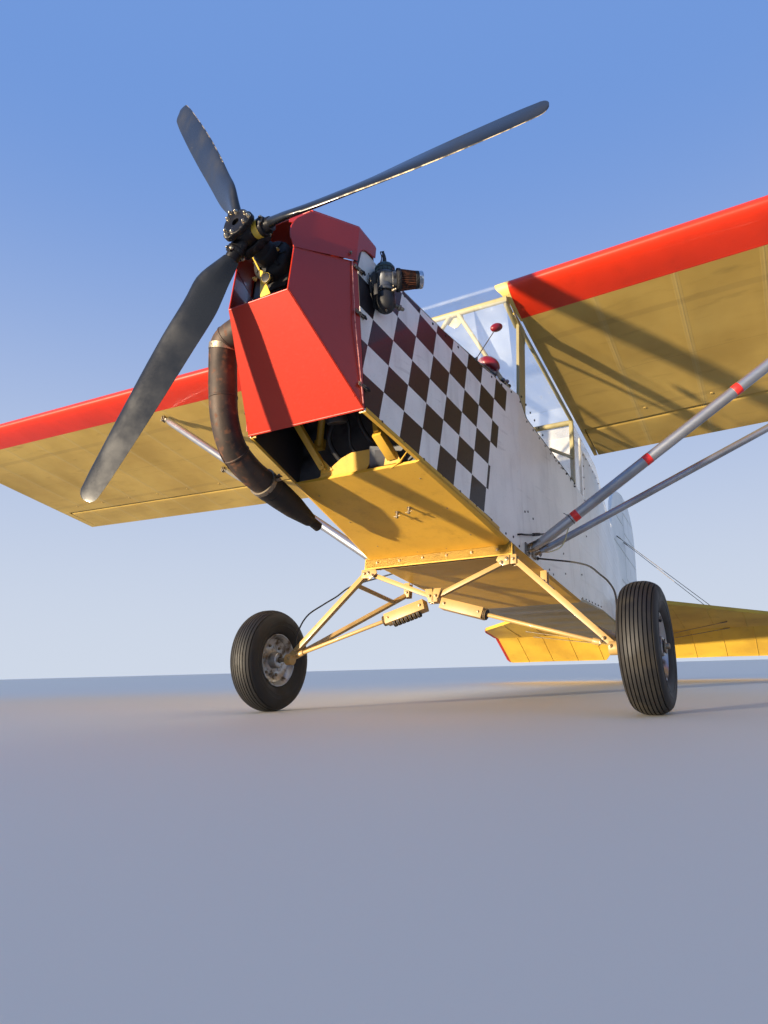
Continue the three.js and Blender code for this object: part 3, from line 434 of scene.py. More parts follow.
# Hoop handle at the foot of the door: one steel rod, bent, with both ends screwed into the
# side panel's frame and a ribbed rubber grip pushed over its middle.
black_steel = Finish("black_steel", tint(34, 33, 35), 0.4, 0.55)
chipped = black_steel.noise(26, 5).grade(0.62, 0.7)
black_steel.set("Base Color", black_steel.mix(chipped * 0.6, tint(34, 33, 35), tint(104, 96, 88)))
black_steel.set("Roughness", 0.34 + black_steel.noise(9) * 0.26)
black_steel.relief(black_steel.noise(4), 0.1)
grip_rubber = Finish("grip_rubber", tint(26, 25, 27), 0.7)
grip_rubber.set("Roughness", 0.6 + grip_rubber.noise(12) * 0.25)
grip_rubber.relief(abs((grip_rubber.y % 6) - 3) * 0.3 + grip_rubber.noise(2) * 0.3, 0.5)
hoop = Shape()
hoop_line = smooth_line([
    (303, 1270, -440), (316, 1276, -438), (322, 1300, -432), (323, 1380, -404), (323, 1480, -366),
    (321, 1556, -337), (314, 1574, -330), (303, 1580, -329)], 6)
hoop.tube(hoop_line, 3.5, 10)
hoop.mark = 1
hoop.tube([(323, 1390, -400), (323, 1430, -385), (323, 1470, -370)], [6, 6.6, 6], 14)
hoop.build("door_hoop", "airframe", "black_steel", [black_steel, grip_rubber])

# Lower cowl: folded and riveted aluminium in orange-red, open at the mouth and the hinge line.
# Its mouth edges are rolled over a wire, and a hinge wire closes it against the upper cowl.
orange = paint("orange_paint", tint(174, 36, 2), roughness=0.4, coat=0.3, dirt=0.22, soil=tint(84, 26, 16))
# The folded sides are glossier than the flat front
orange.set("Coat Weight", 0.04 + (abs(orange.x) - 104 + (orange.z + 158) * 0.41).grade(0, 3) * 0.4)
lip = {"x": 100.0, "y": 80.0, "low": -158.0, "top": -20.0}
hinge_top = Vector((half_width(248), 248, 32))
cowl_foot = Vector((200, 338, -400))
lip_foot = Vector((lip["x"], lip["y"], lip["low"]))
lip_head = Vector((lip["x"], lip["y"], lip["top"]))


def mirrored(point):
    return Vector((-point[0], point[1], point[2]))


lower_cowl = Shape()
face = [lip_foot, cowl_foot, mirrored(cowl_foot), mirrored(lip_foot)]


def between(a, b, share):
    return Vector(a).lerp(Vector(b), share)


exhaust_port = Vector((0, 212, -100))
for s in (1, -1):
    def on_side(point):
        return Vector((s * point[0], point[1], point[2]))
    rows = 14
    columns = 14
    grid = []
    for r in range(rows + 1):
        front = between(lip_head, lip_foot, r / rows)
        rear = between(hinge_top, cowl_foot, r / rows)
        grid.append([on_side(between(front, rear, c / columns)) for c in range(columns + 1)])
    points = [p for line in grid for p in line]
    faces = []
    for r in range(rows):
        for c in range(columns):
            corner = r * (columns + 1) + c
            quad = (corner, corner + 1, corner + columns + 2, corner + columns + 1)
            middle = sum((points[k] for k in quad), Vector()) / 4
            reach = hypot(middle.y - exhaust_port.y, middle.z - exhaust_port.z)
            if s > 0 or reach > 52:
                faces.append(quad)
    lower_cowl.add(points, faces)
front_face = []
for r in range(9):
    low = between(lip_foot, cowl_foot, r / 8)
    front_face.append([between(low, mirrored(low), c / 8) for c in range(9)])
lower_cowl.skin(front_face, ends=False, closed=False)
lower_cowl.build(
    "lower_cowl_skin", "airframe", "orange_paint", [orange], ["lower_cowl"], thick=-2.0, angle=20)

rolled = Shape()
for a, b in [
        (lip_foot, mirrored(lip_foot)), (lip_foot, lip_head), (mirrored(lip_foot), mirrored(lip_head)),
        (cowl_foot + Vector((0, -3, 2)), mirrored(cowl_foot) + Vector((0, -3, 2)))]:
    rolled.tube([a, b], 2.6, 10)
for s in (1, -1):
    rolled.tube([(s * 101, 81, -20), (s * half_width(246), 244, 30)], 2.2, 8)
    # Doubler plate along the rear edge, riveted through the skin
    for k in range(12):
        place = between(hinge_top, cowl_foot, (k + 0.4) / 12.2) + Vector((-3.0, -26, 0))
        rolled.rivet((s * (place.x - 10.5), place.y, place.z), (s * 0.88, -0.47, 0), 2.6)
    for k in range(9):
        place = between(lip_foot, cowl_foot, (k + 0.5) / 9.2)
        rolled.rivet((s * (place.x - 11), place.y + 1, place.z), (0, -0.68, -0.73), 2.6)
rolled.build("lower_cowl_edges", "airframe", "orange_paint", [orange])

# Hinge wire and over-centre latches close the cowl against the side panels. The wire is brass,
# and the latches are plated steel with black toggles.
brass = worn("brass_wire", 0.9, tint(214, 158, 96), tint(150, 92, 62), (9,), (0.45, 0.7), (0.28, 0.25, 5))
hinge_wire = worn(
    "hinge_wire", 0.6, tint(204, 132, 122), tint(140, 74, 70), (12,), (0.45, 0.7), (0.32, 0.25, 5))
plated = worn(
    "plated_steel", 0.9, tint(144, 134, 118), tint(86, 66, 50), (7, 4), (0.5, 0.72), (0.34, 0.3, 4),
    (2, 3, 0.05))
for name, s in both_sides:
    fasteners = Shape()
    wire = [(s * (half_width(y) + 3.5 - lean), y, z) for y, z, lean in (
        (229, 26, 5), (238, -26, 4), (245, -70, 3), (251, -98, 2), (262, -160, 1), (293, -270, 0),
        (328, -388, 0))]
    fasteners.tube(smooth_line(wire, 6), 1.9, 8)
    for y, z in ((252, 12), (276, -126), (319, -338)):
        x = half_width(y)
        fasteners.mark = 1
        slope = Vector((s * 0.11, 0.95, -0.1)).normalized()
        base = Vector((s * (x + 2), y, z))
        tall = Vector((0, 0.1, 0.95)) * 6
        for start, end, share in ((-17, 4, 1.0), (8, 22, 0.8)):
            fasteners.slab([
                base + slope * start - tall * share, base + slope * end - tall * share,
                base + slope * end + tall * share, base + slope * start + tall * share], (s * 2.4, 0, 0))
        for along in (-13, -4, 17):
            fasteners.rivet(base + slope * along + Vector((s * 2.4, 0, 0)), (s, 0, 0), 2.8)
        for lift in (0.55, -0.55):
            fasteners.tube([
                base - slope * 6 + tall * lift + Vector((s * 4, 0, 0)), base + slope * 14 + tall * lift
                + Vector((s * 6, 0, 0))], 1.4, 8)
        fasteners.mark = 2
        fasteners.tube([
            base + slope * 8 + Vector((s * 4, 0, 0)), base + slope * 18 + Vector((s * 7, 0, 0)),
            base + slope * 28 + Vector((s * 5, 0, 0))], [4, 4.6, 2.6], 10, flat=0.7)
    fasteners.mark = 1
    fasteners.bolt((s * (half_width(212) + 2), 216, 44), (s * 0.88, -0.45, 0), 3.6)
    fasteners.build(f"cowl_latches_{name}", "airframe", "black_steel", [hinge_wire, plated, black_steel])

# Upper cowl: a lid folded from the same sheet, open at the front, with a rolled band along its
# top edges. A rounded notch in each side shows the white panel.
lid_stations = [(56, 88, 126), (113, 119, 136), (238, 192.4, 157), (322, 201.8, 147)]
notch = [(319, 99), (312, 98.5), (292, 98), (276, 95), (264, 89), (254, 79), (247, 66), (244, 52), (243, 33)]


def lid_size(y, column):
    """Half the lid's width (1) or the height of its top (2)."""
    for low, high in zip(lid_stations, lid_stations[1:]):
        if y <= high[0] or high is lid_stations[-1]:
            return low[column] + (high[column] - low[column]) * (y - low[0]) / (high[0] - low[0])


def lid_x(y):
    return lid_size(y, 1)


def lid_top(y):
    return lid_size(y, 2)


def along_line(line, share):
    """A point at a share of the length of a polyline of (y, z) pairs."""
    line = [Vector(p) for p in line]
    left_over = share * sum((q - p).length for p, q in zip(line, line[1:]))
    for p, q in zip(line, line[1:]):
        if left_over <= (q - p).length + 1e-6:
            return p.lerp(q, left_over / (q - p).length)
        left_over -= (q - p).length
    return line[-1]


def notch_edge(z):
    """The lid's rear edge at a height: up the notch, then up the last straight edge."""
    for (y0, z0), (y1, z1) in zip(notch_up, notch_up[1:]):
        if z <= z1:
            return Vector((y0 + (y1 - y0) * (z - z0) / (z1 - z0), z))
    return Vector(notch_up[-1])


lid = Shape()
bend = 10
notch_up = [(243, 33)] + notch[::-1][1:] + [(319, 137)]
fold_lines = ((110, 4), (238, 8), (None, 6))
for s in (1, -1):
    side_rows = []
    for k in range(25):
        front = along_line([(78, -18), (67, 12), (65, 45), (76, 80), (109, 124)], k / 24)
        rear = notch_edge(33 + (137 - 33) * k / 24)
        places = [front.x]
        for fold_y, count in fold_lines:
            start, end = places[-1], fold_y or rear.x
            places += [start + (end - start) * (i + 1) / count for i in range(count)]
        line = []
        for y in places:
            share = (y - front.x) / (rear.x - front.x)
            crest = lid_top(max(y, 113)) - bend - (124 + 13 * share)
            line.append(Vector((
                s * lid_x(y), y, front.y + (rear.y - front.y) * share + crest * (k / 24) ** 2)))
        side_rows.append(line)
    lid.skin(side_rows, ends=False, closed=False)
    # Front lip, flared inwards so that it catches the light
    lid.add([
        (s * lid_x(66), 66, 58), (s * lid_x(76), 76, 80), (s * lid_x(94), 94, 104), (s * (lid_x(94) - 16),
        84, 108), (s * (lid_x(76) - 18), 66, 84), (s * (lid_x(66) - 8), 60, 58)], [(0, 1, 4, 5),
        (1, 2, 3, 4)])
roof_rings = []
for y in (113, 130, 155, 180, 205, 225, 238, 243.2, 254, 264, 276, 292, 312, 319):
    x, top = lid_x(y), lid_top(y)
    arc = [(x, top - bend), (x - 0.8, top - 6), (x - 3, top - 2.4), (x - 6.5, top - 0.6), (x - bend, top)]
    ring = arc + [
        (a, top) for a in (x * 0.6, x * 0.2, -x * 0.2, -x * 0.6)] + [(-a, t) for a, t in reversed(arc)]
    roof_rings.append([Vector((a, y, t)) for a, t in ring])
lid.skin(roof_rings, ends=False, closed=False)
lid.build("upper_cowl_lid", "airframe", "orange_paint", [orange], ["upper_cowl"], thick=-2.0, angle=22)

lid_trim = Shape()
for s in (1, -1):
    edge = [(s * lid_x(max(56, y)), y, z) for y, z in (
        (79, -18), (73, -3), (67, 12), (65, 28), (65, 45), (69, 63), (76, 80), (94, 105), (109, 124))]
    lid_trim.tube(edge, 2.4, 10)
    band = [(s * (lid_x(y) - 2.6), y, lid_top(y) - 2.4) for y in (113, 150, 200, 238, 280, 319)]
    lid_trim.tube(band, 2.8, 8)
    lid_trim.tube([(s * lid_x(y), y, z) for y, z in notch[1:]], 1.5, 8)
    for y, z in ((92, 16), (96, 62), (150, 118), (200, 136), (240, 140), (285, 126), (228, 60), (228, 100)):
        lid_trim.rivet((s * (lid_x(y) + 0.2), y, z), (s * 0.9, -0.42, 0), 2.8)
lid_trim.tube([(-108, 113, 135.5), (108, 113, 135.5)], 2.2, 10)
lid_trim.build("upper_cowl_edges", "airframe", "orange_paint", [orange])

# Engine: cast aluminium blocks with cooling fins, bolted to the mount's plate and seen through
# the mouth and the outlet.
cast = Finish("engine_casting", tint(92, 92, 92), 0.55, 0.75)
cast_oil = cast.noise(80, 5).grade(0.45, 0.7)
cast.set("Base Color", cast.mix(cast_oil, tint(92, 92, 92), tint(34, 28, 24)))
cast.set("Roughness", 0.62 - cast_oil * 0.25 + cast.noise(3) * 0.1)
cast.relief(cast.noise(2.5, 4), 0.35)
engine = Shape()
engine.block((-104, 190, -190), (104, 495, 20))
engine.block((-86, 200, 20), (86, 480, 104))
for k in range(17):
    z = -182 + k * 12
    engine.block((-112, 206, z), (112, 486, z + 4))
for k in range(6):
    engine.block((-98, 196, 28 + k * 12), (98, 486, 31 + k * 12))
for s in (1, -1):
    for y in (230, 300, 370, 440):
        engine.turned((s * 60, y, 102), (0, 0, 1), [(0, 24), (4, 24), (6, 20), (8, 12)], 20)
        engine.bolt((s * 96, y, 20), (s, 0, 0.2), 6)
engine.block((-70, 200, -222), (70, 470, -186))
engine.build("engine_castings", "airframe", "engine_metal", [cast], ["engine_block"], bevel=1.5)

# Reduction drive: a black cast drum behind the propeller, with the starter's bracket, a choke
# knob and a tie rod standing in the mouth of the cowl.
drum_black = worn(
    "drum_black", 0.2, tint(24, 23, 24), tint(48, 42, 36), (50, 5), (0.5, 0.75), (0.56, 0.25, 12),
    (2.4, 4, 0.2))
drum = Shape()
drum.turned((0, 96, 0), (0, 1, 0), [(0, 50), (4, 57), (12, 62), (52, 62), (60, 56), (82, 54)], 40)
drum.turned((0, 134, -84), (0, 1, 0), [(0, 30), (5, 40), (12, 43), (30, 43), (44, 42)], 36)
drum.slab([(-58, 128, 10), (58, 128, 10), (45, 128, -86), (-45, 128, -86)], (0, 46, 0))
drum.turned((0, 44, 0), (0, 1, 0), [(0, 29), (20, 29), (24, 34), (54, 36)], 32)
for k in range(8):
    a = 2 * pi * k / 8
    drum.bolt((52 * cos(a), 98, 52 * sin(a)), (0, -1, 0), 4)
    drum.slab([
        (48 * cos(a) - 3 * sin(a), 99, 48 * sin(a) + 3 * cos(a)), (48 * cos(a) + 3 * sin(a), 99,
        48 * sin(a) - 3 * cos(a)), (34 * cos(a) + 3 * sin(a), 96, 34 * sin(a) - 3 * cos(a)),
        (34 * cos(a) - 3 * sin(a), 96, 34 * sin(a) + 3 * cos(a))], (0, -5, 0))
for k in range(6):
    a = 2 * pi * (k + 0.5) / 6
    drum.bolt((36 * cos(a), 136, -84 + 36 * sin(a)), (0, -1, 0), 4)
drum.build("reduction_housing", "airframe", "engine_metal", [drum_black], ["reduction_drive"], bevel=1.2)

cream = paint("cream_paint", tint(206, 160, 52), roughness=0.46, coat=0.08, dirt=0.6, soil=tint(92, 68, 26))
bracket_yellow = paint("bracket_yellow", tint(214, 178, 62), roughness=0.4, coat=0.2, dirt=0.3)
mouth_parts = Shape()
mouth_parts.slab([
    (-22, 90, -40), (-3, 90, -54), (17, 91, -72), (7, 92, -83), (8, 93, -96), (26, 95, -134),
    (-8, 95, -136), (-14, 93, -88)], (0, 4, 0))
mouth_parts.mark = 1
mouth_parts.turned((19, 92, -90), (0, -1, -0.2), [(-6, 7), (2, 7), (3, 15), (14, 16), (17, 14), (18, 8)], 22)
mouth_parts.mark = 2
mouth_parts.bolt((-24, 84, -77), (-0.5, -0.8, 0), 6, stub=5)
mouth_parts.bolt((-57, 86, 20), (-0.2, -0.9, 0.4), 6, stub=4)
mouth_parts.bolt((34, 88, 6), (0.2, -0.9, 0.3), 5, stub=3)
mouth_parts.mark = 3
mouth_parts.tube([(-56, 88, 18), (-22, 90, -42)], 2.6, 10)
mouth_parts.mark = 1
mouth_parts.tube(smooth_line([(52, 130, 40), (66, 124, 20), (70, 124, -30), (52, 134, -70)], 6), 5, 10)
mouth_parts.build(
    "mouth_fittings", "airframe", "black_steel", [bracket_yellow, black_steel, brass, bracket_yellow],
    bevel=0.8)

# Propeller hub: two black alloy plates clamp the blade roots. Bolts through both are tied with
# brass lock wire, and each root sits in a split ring clamp. One root carries a yellow band that is
# a painted highlight where the key light falls on it.
hub_black = Finish("hub_anodising", tint(30, 29, 31), 0.32, 0.6)
hub_rub = hub_black.noise(14, 5).grade(0.6, 0.72)
hub_black.set("Base Color", hub_black.mix(hub_rub * 0.5, tint(30, 29, 31), tint(98, 94, 90)))
hub_black.set("Roughness", 0.28 + hub_black.noise(7) * 0.24)
hub_black.relief(hub_black.noise(1.5), 0.03)
bright_bolt = worn(
    "bright_bolt", 0.95, tint(212, 200, 176), tint(150, 112, 72), (6,), (0.5, 0.7), (0.22, 0.25, 4))
blade_angles = [radians(a) for a in (0.6, 120.6, 240.6)]
hub = Shape()


plate_sides = 60


def lobed(y, round_reach, lobe_reach):
    """A three-lobed plate outline, its lobes along the blades."""
    ring = []
    for k in range(plate_sides):
        a = 2 * pi * k / plate_sides
        lobe = max(cos(3 * (a - blade_angles[0])), 0) ** 0.7
        reach = round_reach + (lobe_reach - round_reach) * lobe
        ring.append(Vector((reach * cos(a), y, reach * sin(a))))
    return ring


def bored(rings, bore):
    """Adds the inner rings of a hole, so that the plate's skin can close on itself."""
    turns = [2 * pi * k / plate_sides for k in range(plate_sides)]
    return rings + [
        [Vector((bore * cos(a), y, bore * sin(a))) for a in turns] for y in (rings[-1][0].y, rings[0][0].y)]


hub.skin(
    bored([lobed(-31, 40, 50), lobed(-32.5, 41, 52), lobed(-45, 41, 52), lobed(-47, 39, 50)], 11),
    ends=False, loop=True)
hub.skin(
    bored([lobed(14, 39, 52), lobed(16, 41, 54), lobed(38, 41, 54), lobed(40, 39, 52)], 11), ends=False,
    loop=True)
hub.turned((0, -30, 0), (0, 1, 0), [(0, 33), (5, 36), (42, 36), (46, 33)], 36)
hub.turned((0, -20, 0), (0, -1, 0), [(0, 10), (18, 10), (19, 8)], 20)
bolt_rings = []
for index, angle in enumerate(blade_angles):
    out = Vector((cos(angle), 0, sin(angle)))
    across = Vector((-sin(angle), 0, cos(angle)))
    hub.mark = 0
    hub.turned(out * 18, out, [(0, 21), (4, 23), (40, 23), (44, 21), (50, 19.5), (64, 19)], 32)
    for side in (1, -1):
        # Ears of the split clamp, with its pinch bolt
        ear = out * 62 + Vector((0, side * 23, 0))
        hub.slab([
            ear - out * 9 + across * 9, ear + out * 9 + across * 9, ear + out * 9 - across * 9,
            ear - out * 9 - across * 9], (0, side * -8, 0))
    hub.turned(out * 56, out, [(-7, 24), (-5, 25.5), (5, 25.5), (7, 24)], 32)
    if index == 0:
        # This root alone gets a yellow band, a painted highlight where the key light falls on it.
        hub.mark = 3
        hub.turned(out * 44, out, [(-14, 23.6), (-13, 24.6), (9, 24.6), (10, 23.6)], 32)
    hub.mark = 2
    for side in (1, -1):
        hub.bolt(out * 62 + Vector((0, side * 23, 0)) + across * 9, across, 4.6, stub=2)
        hub.bolt(out * 62 + Vector((0, side * 23, 0)) - across * 9, -across, 4.0, stub=4)
    for lean in (-0.42, 0.0, 0.42):
        a = angle + lean
        reach = 45 if lean == 0 else 35
        place = Vector((reach * cos(a), -47.5, reach * sin(a)))
        hub.bolt(place, (0, -1, 0), 5.2, 4.6, stub=3.0)
        bolt_rings.append(place)
hub.mark = 1
for first, second in zip(bolt_rings, bolt_rings[1:] + bolt_rings[:1]):
    if (first - second).length < 30:
        sag = (first + second) / 2 + Vector((0, -4.6, 0))
        for turn_side in (1, -1):
            twist = (second - first).normalized().cross(Vector((0, 1, 0))) * turn_side * 1.3
            hub.tube(smooth_line([
                first + Vector((0, -3.4, 0)) + twist * 3, sag + twist, second + Vector((0, -3.4,
                0)) - twist * 3], 6), 0.75, 6)
hub.build(
    "hub_plates", "propeller", "black_steel", [hub_black, brass, bright_bolt, bracket_yellow],
    ["propeller_hub"], bevel=0.5, angle=40)

# Propeller blades: satin black carbon skins, thick at the root and thin at the tip, with a fine
# bright line in patches along the leading edge, partly wear and partly a painted highlight.
blade_stations = [
    (83, 44, 25, 42, 0.5), (113, 60, 23, 41, 0.57), (145, 76, 22, 39, 0.62), (175, 88, 20, 37, 0.62),
    (235, 94, 18, 33, 0.56), (350, 96, 15, 28.5, 0.57), (520, 92, 11, 21, 0.55), (690, 80, 7, 16, 0.52),
    (790, 66, 5, 14, 0.5), (820, 44, 3.5, 13, 0.5)]
blade_section = [
    (0, 0), (0.015, 0.18), (0.06, 0.36), (0.16, 0.54), (0.3, 0.62), (0.47, 0.56), (0.65, 0.42),
    (0.84, 0.22), (1, 0.05), (1, -0.02), (0.85, -0.1), (0.7, -0.2), (0.5, -0.31), (0.3, -0.37),
    (0.15, -0.34), (0.06, -0.24), (0.015, -0.12)]
blade_finish = Finish("blade_composite", tint(20, 22, 26), 0.34, coat=0.2)
blade_dust = blade_finish.noise(110, 5).grade(0.4, 0.75)
fly_marks = blade_finish.specks(22, 0.07) * blade_finish.noise(90).grade(0.5, 0.6)
blade_finish.set("Base Color", blade_finish.mix(
    blade_dust * 0.05 + fly_marks * 0.2, tint(20, 22, 26), tint(80, 84, 92)))
blade_finish.set("Roughness", 0.24 + blade_dust * 0.2 + blade_finish.noise(8) * 0.08)
blade_finish.relief(blade_finish.noise(1.6, 2), 0.04)
# Pale patches along the leading edge: partly wear, partly a painted highlight.
blade_edge_wear_and_highlight = worn(
    "blade_edge", 0.2, tint(40, 38, 38), tint(168, 152, 122), (30, 5), (0.42, 0.6), (0.3, 0.3, 5))


def station(r):
    """Blade sizes at a radius, eased between the measured stations."""
    for k in range(len(blade_stations) - 1):
        if r <= blade_stations[k + 1][0] or k == len(blade_stations) - 2:
            low, high = blade_stations[k], blade_stations[k + 1]
            before = blade_stations[max(k - 1, 0)]
            after = blade_stations[min(k + 2, len(blade_stations) - 1)]
            t = (r - low[0]) / (high[0] - low[0])
            span = high[0] - low[0]
            values = []
            for c in range(1, 5):
                slope_low = (high[c] - before[c]) / max(high[0] - before[0], 1) * span
                slope_high = (after[c] - low[c]) / max(after[0] - low[0], 1) * span
                values.append(
                    (2 * t ** 3 - 3 * t ** 2 + 1) * low[c] + (t ** 3 - 2 * t ** 2 + t) * slope_low
                    + (3 * t ** 2 - 2 * t ** 3) * high[c] + (t ** 3 - t ** 2) * slope_high)
            return values


def pitched(tangent, pitch):
    """Directions along the chord and out of the front face, at a pitch in degrees."""
    beta = radians(pitch)
    return tangent * cos(beta) + Vector((0, sin(beta), 0)), Vector((0, -cos(beta), 0)) + tangent * sin(beta)


for index, angle in enumerate(blade_angles):
    out = Vector((cos(angle), 0, sin(angle)))
    tangent = Vector((-sin(angle), 0, cos(angle)))
    blade = Shape()
    rings = []
    reaches = [83 + (790 - 83) * k / 40 for k in range(41)] + [800, 808, 813, 816.5, 818.6, 819.8]
    for r in reaches:
        chord, thick, pitch, ahead = station(r)
        if r > 790:
            chord = 66 * sqrt(max(1 - ((r - 790) / 30.5) ** 2.6, 0.02))
            ahead = 0.5
        chordwise, forward = pitched(tangent, pitch)
        rings.append([
            out * r + chordwise * (u - ahead) * chord + forward * t * thick for u, t in blade_section])
    blade.skin(rings)
    edge_faces = {0, len(blade_section) - 1}
    for k in range(len(reaches) - 1):
        for i in edge_faces:
            if reaches[k] > 300:
                blade.marks[k * len(blade_section) + i] = 1
    # Root ferrule between the blade and the clamp, blended from round to the blade section
    chordwise, forward = pitched(tangent, station(83)[2])
    ferrule = []
    for k in range(9):
        share = k / 8
        blend = share * share * (3 - 2 * share)
        r = 64 + 34 * share
        wide, tall, _, lead = station(max(r, 83))
        ring = []
        for u, t in blade_section:
            swing = chordwise * (u - lead) * wide + forward * t * tall
            round_one = swing.normalized() * 17.5
            ring.append(out * r + round_one.lerp(swing * 0.97, blend))
        ferrule.append(ring)
    blade.skin(ferrule)
    blade.build(
        f"blade_{index + 1}", "propeller", "blade_composite", [blade_finish, blade_edge_wear_and_highlight],
        [f"propeller_blade_{index + 1}"], angle=50)

# Exhaust: one welded steel pipe out of the right cheek, down and aft into a black silencer cone
# with a short tail pipe. The heat has browned it, and a clamp holds the cone on.
exhaust_steel = Finish("exhaust_steel", tint(66, 54, 48), 0.6, 0.5)
scorch = exhaust_steel.noise(130, 5)
rust = exhaust_steel.noise(22, 6).grade(0.52, 0.72)
scorched = exhaust_steel.mix(scorch.grade(0.35, 0.68), tint(74, 62, 54), tint(40, 35, 33))
exhaust_steel.set("Base Color", exhaust_steel.mix(rust * 0.5, scorched, tint(120, 72, 42)))
exhaust_steel.set("Metallic", 0.5 - rust * 0.3)
exhaust_steel.set("Roughness", 0.56 + rust * 0.2 + exhaust_steel.noise(5) * 0.1)
exhaust_steel.relief(exhaust_steel.noise(4, 5), 0.25)
soot_black = Finish("soot_black", tint(32, 30, 29), 0.62, 0.35)
soot = soot_black.noise(60, 5)
soot_black.set("Base Color", soot_black.mix(soot.grade(0.5, 0.75), tint(32, 30, 29), tint(66, 54, 44)))
soot_black.set("Roughness", 0.5 + soot * 0.3)
soot_black.relief(soot_black.noise(3, 5), 0.25)
pipe_x = -262
route = smooth_line([
    (-121, 212, -100), (-180, 215, -103), (-250, 226, -124), (-262, 243, -182), (-262, 262, -266),
    (-262, 288, -352), (-262, 340, -424), (-258, 415, -462), (-254, 486, -476)], 7)
exhaust = Shape()
exhaust.tube(route, 42, 32)
bead = [p + Vector((-24, -35, 0)) if p.z > -400 else p + Vector((-24, -20, -28)) for p in route[18:]]
exhaust.tube(smooth_line(bead[::6] + [bead[-1]], 6), 2.6, 8)
for k in (12, 30, 44):
    heading = (route[k + 1] - route[k]).normalized()
    exhaust.turned(route[k], heading, [(-4, 42), (-2, 43.8), (2, 43.8), (4, 42)], 32)
exhaust.mark = 1
heading = (route[17] - route[16]).normalized()
exhaust.turned(route[16], heading, [(-9, 42.5), (-9, 45), (9, 45), (9, 42.5)], 32)
exhaust.block((-304, 226, -150), (-290, 236, -126))
exhaust.bolt((-300, 222, -138), (0, -1, 0), 5, stub=6)
exhaust.turned((-118, 212, -100), (-1, 0, 0), [(0, 62), (5, 62), (6, 60)], 32)
exhaust.build("exhaust_header", "airframe", "exhaust_steel", [exhaust_steel, plated], ["exhaust_pipe"])
cone = Shape()
tail_x = pipe_x + 8.5
cone_axis = Vector((3.5, 220, -27)).normalized()
cone.turned(
    (tail_x, 494, -477.5), (0, 0.99, -0.12), [(-10, 43), (-8, 45.5), (2, 46), (30, 46.5), (34, 45)], 40)
cone.turned((tail_x, 524, -481), cone_axis, [
    (-2, 44), (0, 45), (30, 44.4), (60, 43), (126, 38), (180, 29.5), (216, 24), (222, 22), (224, 18)], 40)
cone.turned(
    (pipe_x + 12, 744, -508), (0.01, 0.99, -0.12), [(-12, 17), (44, 17), (48, 17.4), (48.5, 15.2),
    (20, 15)], 28)
cone.mark = 1
cone.turned((tail_x, 490, -477), (0, 0.99, -0.12), [(-8, 43.5), (-8, 47.5), (8, 47.5), (8, 43.5)], 40)
for lift in (-1, 1):
    cone.slab([
        (-206, 484, -470 + lift * 7), (-206, 498, -471 + lift * 7), (-188, 498, -470 + lift * 6),
        (-188, 484, -469 + lift * 6)], (0, 0, 2.4))
cone.bolt((-197, 491, -460), (0, 0.1, 1), 4, stub=2)
cone.build("exhaust_cone", "airframe", "exhaust_steel", [soot_black, plated], ["silencer_cone"])

# Carburettor: a cast alloy slide body on a rubber neck, with a dark cap, cable boot and float bowl.
# It stands out of the round hole in the left panel and carries a pleated cone filter.
pot_metal = worn(
    "carburettor_casting", 0.8, tint(96, 99, 104), tint(34, 32, 32), (34, 5), (0.48, 0.7), (0.36, 0.25, 4),
    (2, 4, 0.18))
cap_green = worn(
    "cap_enamel", 0.3, tint(44, 66, 68), tint(24, 34, 36), (18, 4), (0.5, 0.7), (0.28, 0.25, 5), coat=0.2)
black_plastic = Finish("black_plastic", tint(28, 28, 30), 0.5)
black_plastic.set("Roughness", 0.4 + black_plastic.noise(9) * 0.25)
black_plastic.relief(black_plastic.noise(1.2), 0.06)
intake_x = 233
lean = Vector((0, -21, 144)).normalized()
carb = Shape()
carb.turned(
    (112, 352, -8), (1, 0, 0), [(0, 34), (6, 34), (8, 27), (60, 26), (96, 26), (98, 29), (110, 29)], 32)
carb.mark = 1
carb.turned((196, 352, -8), (1, 0, 0), [(0, 30), (2, 31), (10, 31), (12, 30)], 32)
carb.turned((intake_x, 341, -18), lean, [
    (0, 27), (4, 29), (8, 29), (10, 26.5), (52, 26.5), (54, 28), (60, 28), (63, 26)], 32)
carb.turned((intake_x - 12, 346, -8), (1, -0.04, 0), [(-14, 27), (-12, 30), (-6, 30), (-4, 25), (26, 25)], 28)
carb.turned(
    (intake_x + 2, 326.4, 15.6), (0.82, 0.55, 0.16), [(0, 22), (22, 22), (24, 25), (37, 25.5), (38, 24)],
    32)
carb.mark = 2
carb.turned((intake_x, 338.5, -2), lean, [
    (44, 24), (46, 27.5), (56, 27.5), (57, 29.5), (64, 29.5), (66, 26), (72, 24), (73, 18)], 36)
for k in range(12):
    a = 2 * pi * k / 12
    side = lean.orthogonal().normalized()
    rim = Vector((intake_x, 338.5, -2)) + lean * 50.5 + (side * cos(a) + lean.cross(side) * sin(a)) * 27.6
    carb.tube([rim - lean * 4, rim + lean * 4], 1.6, 6)
carb.mark = 3
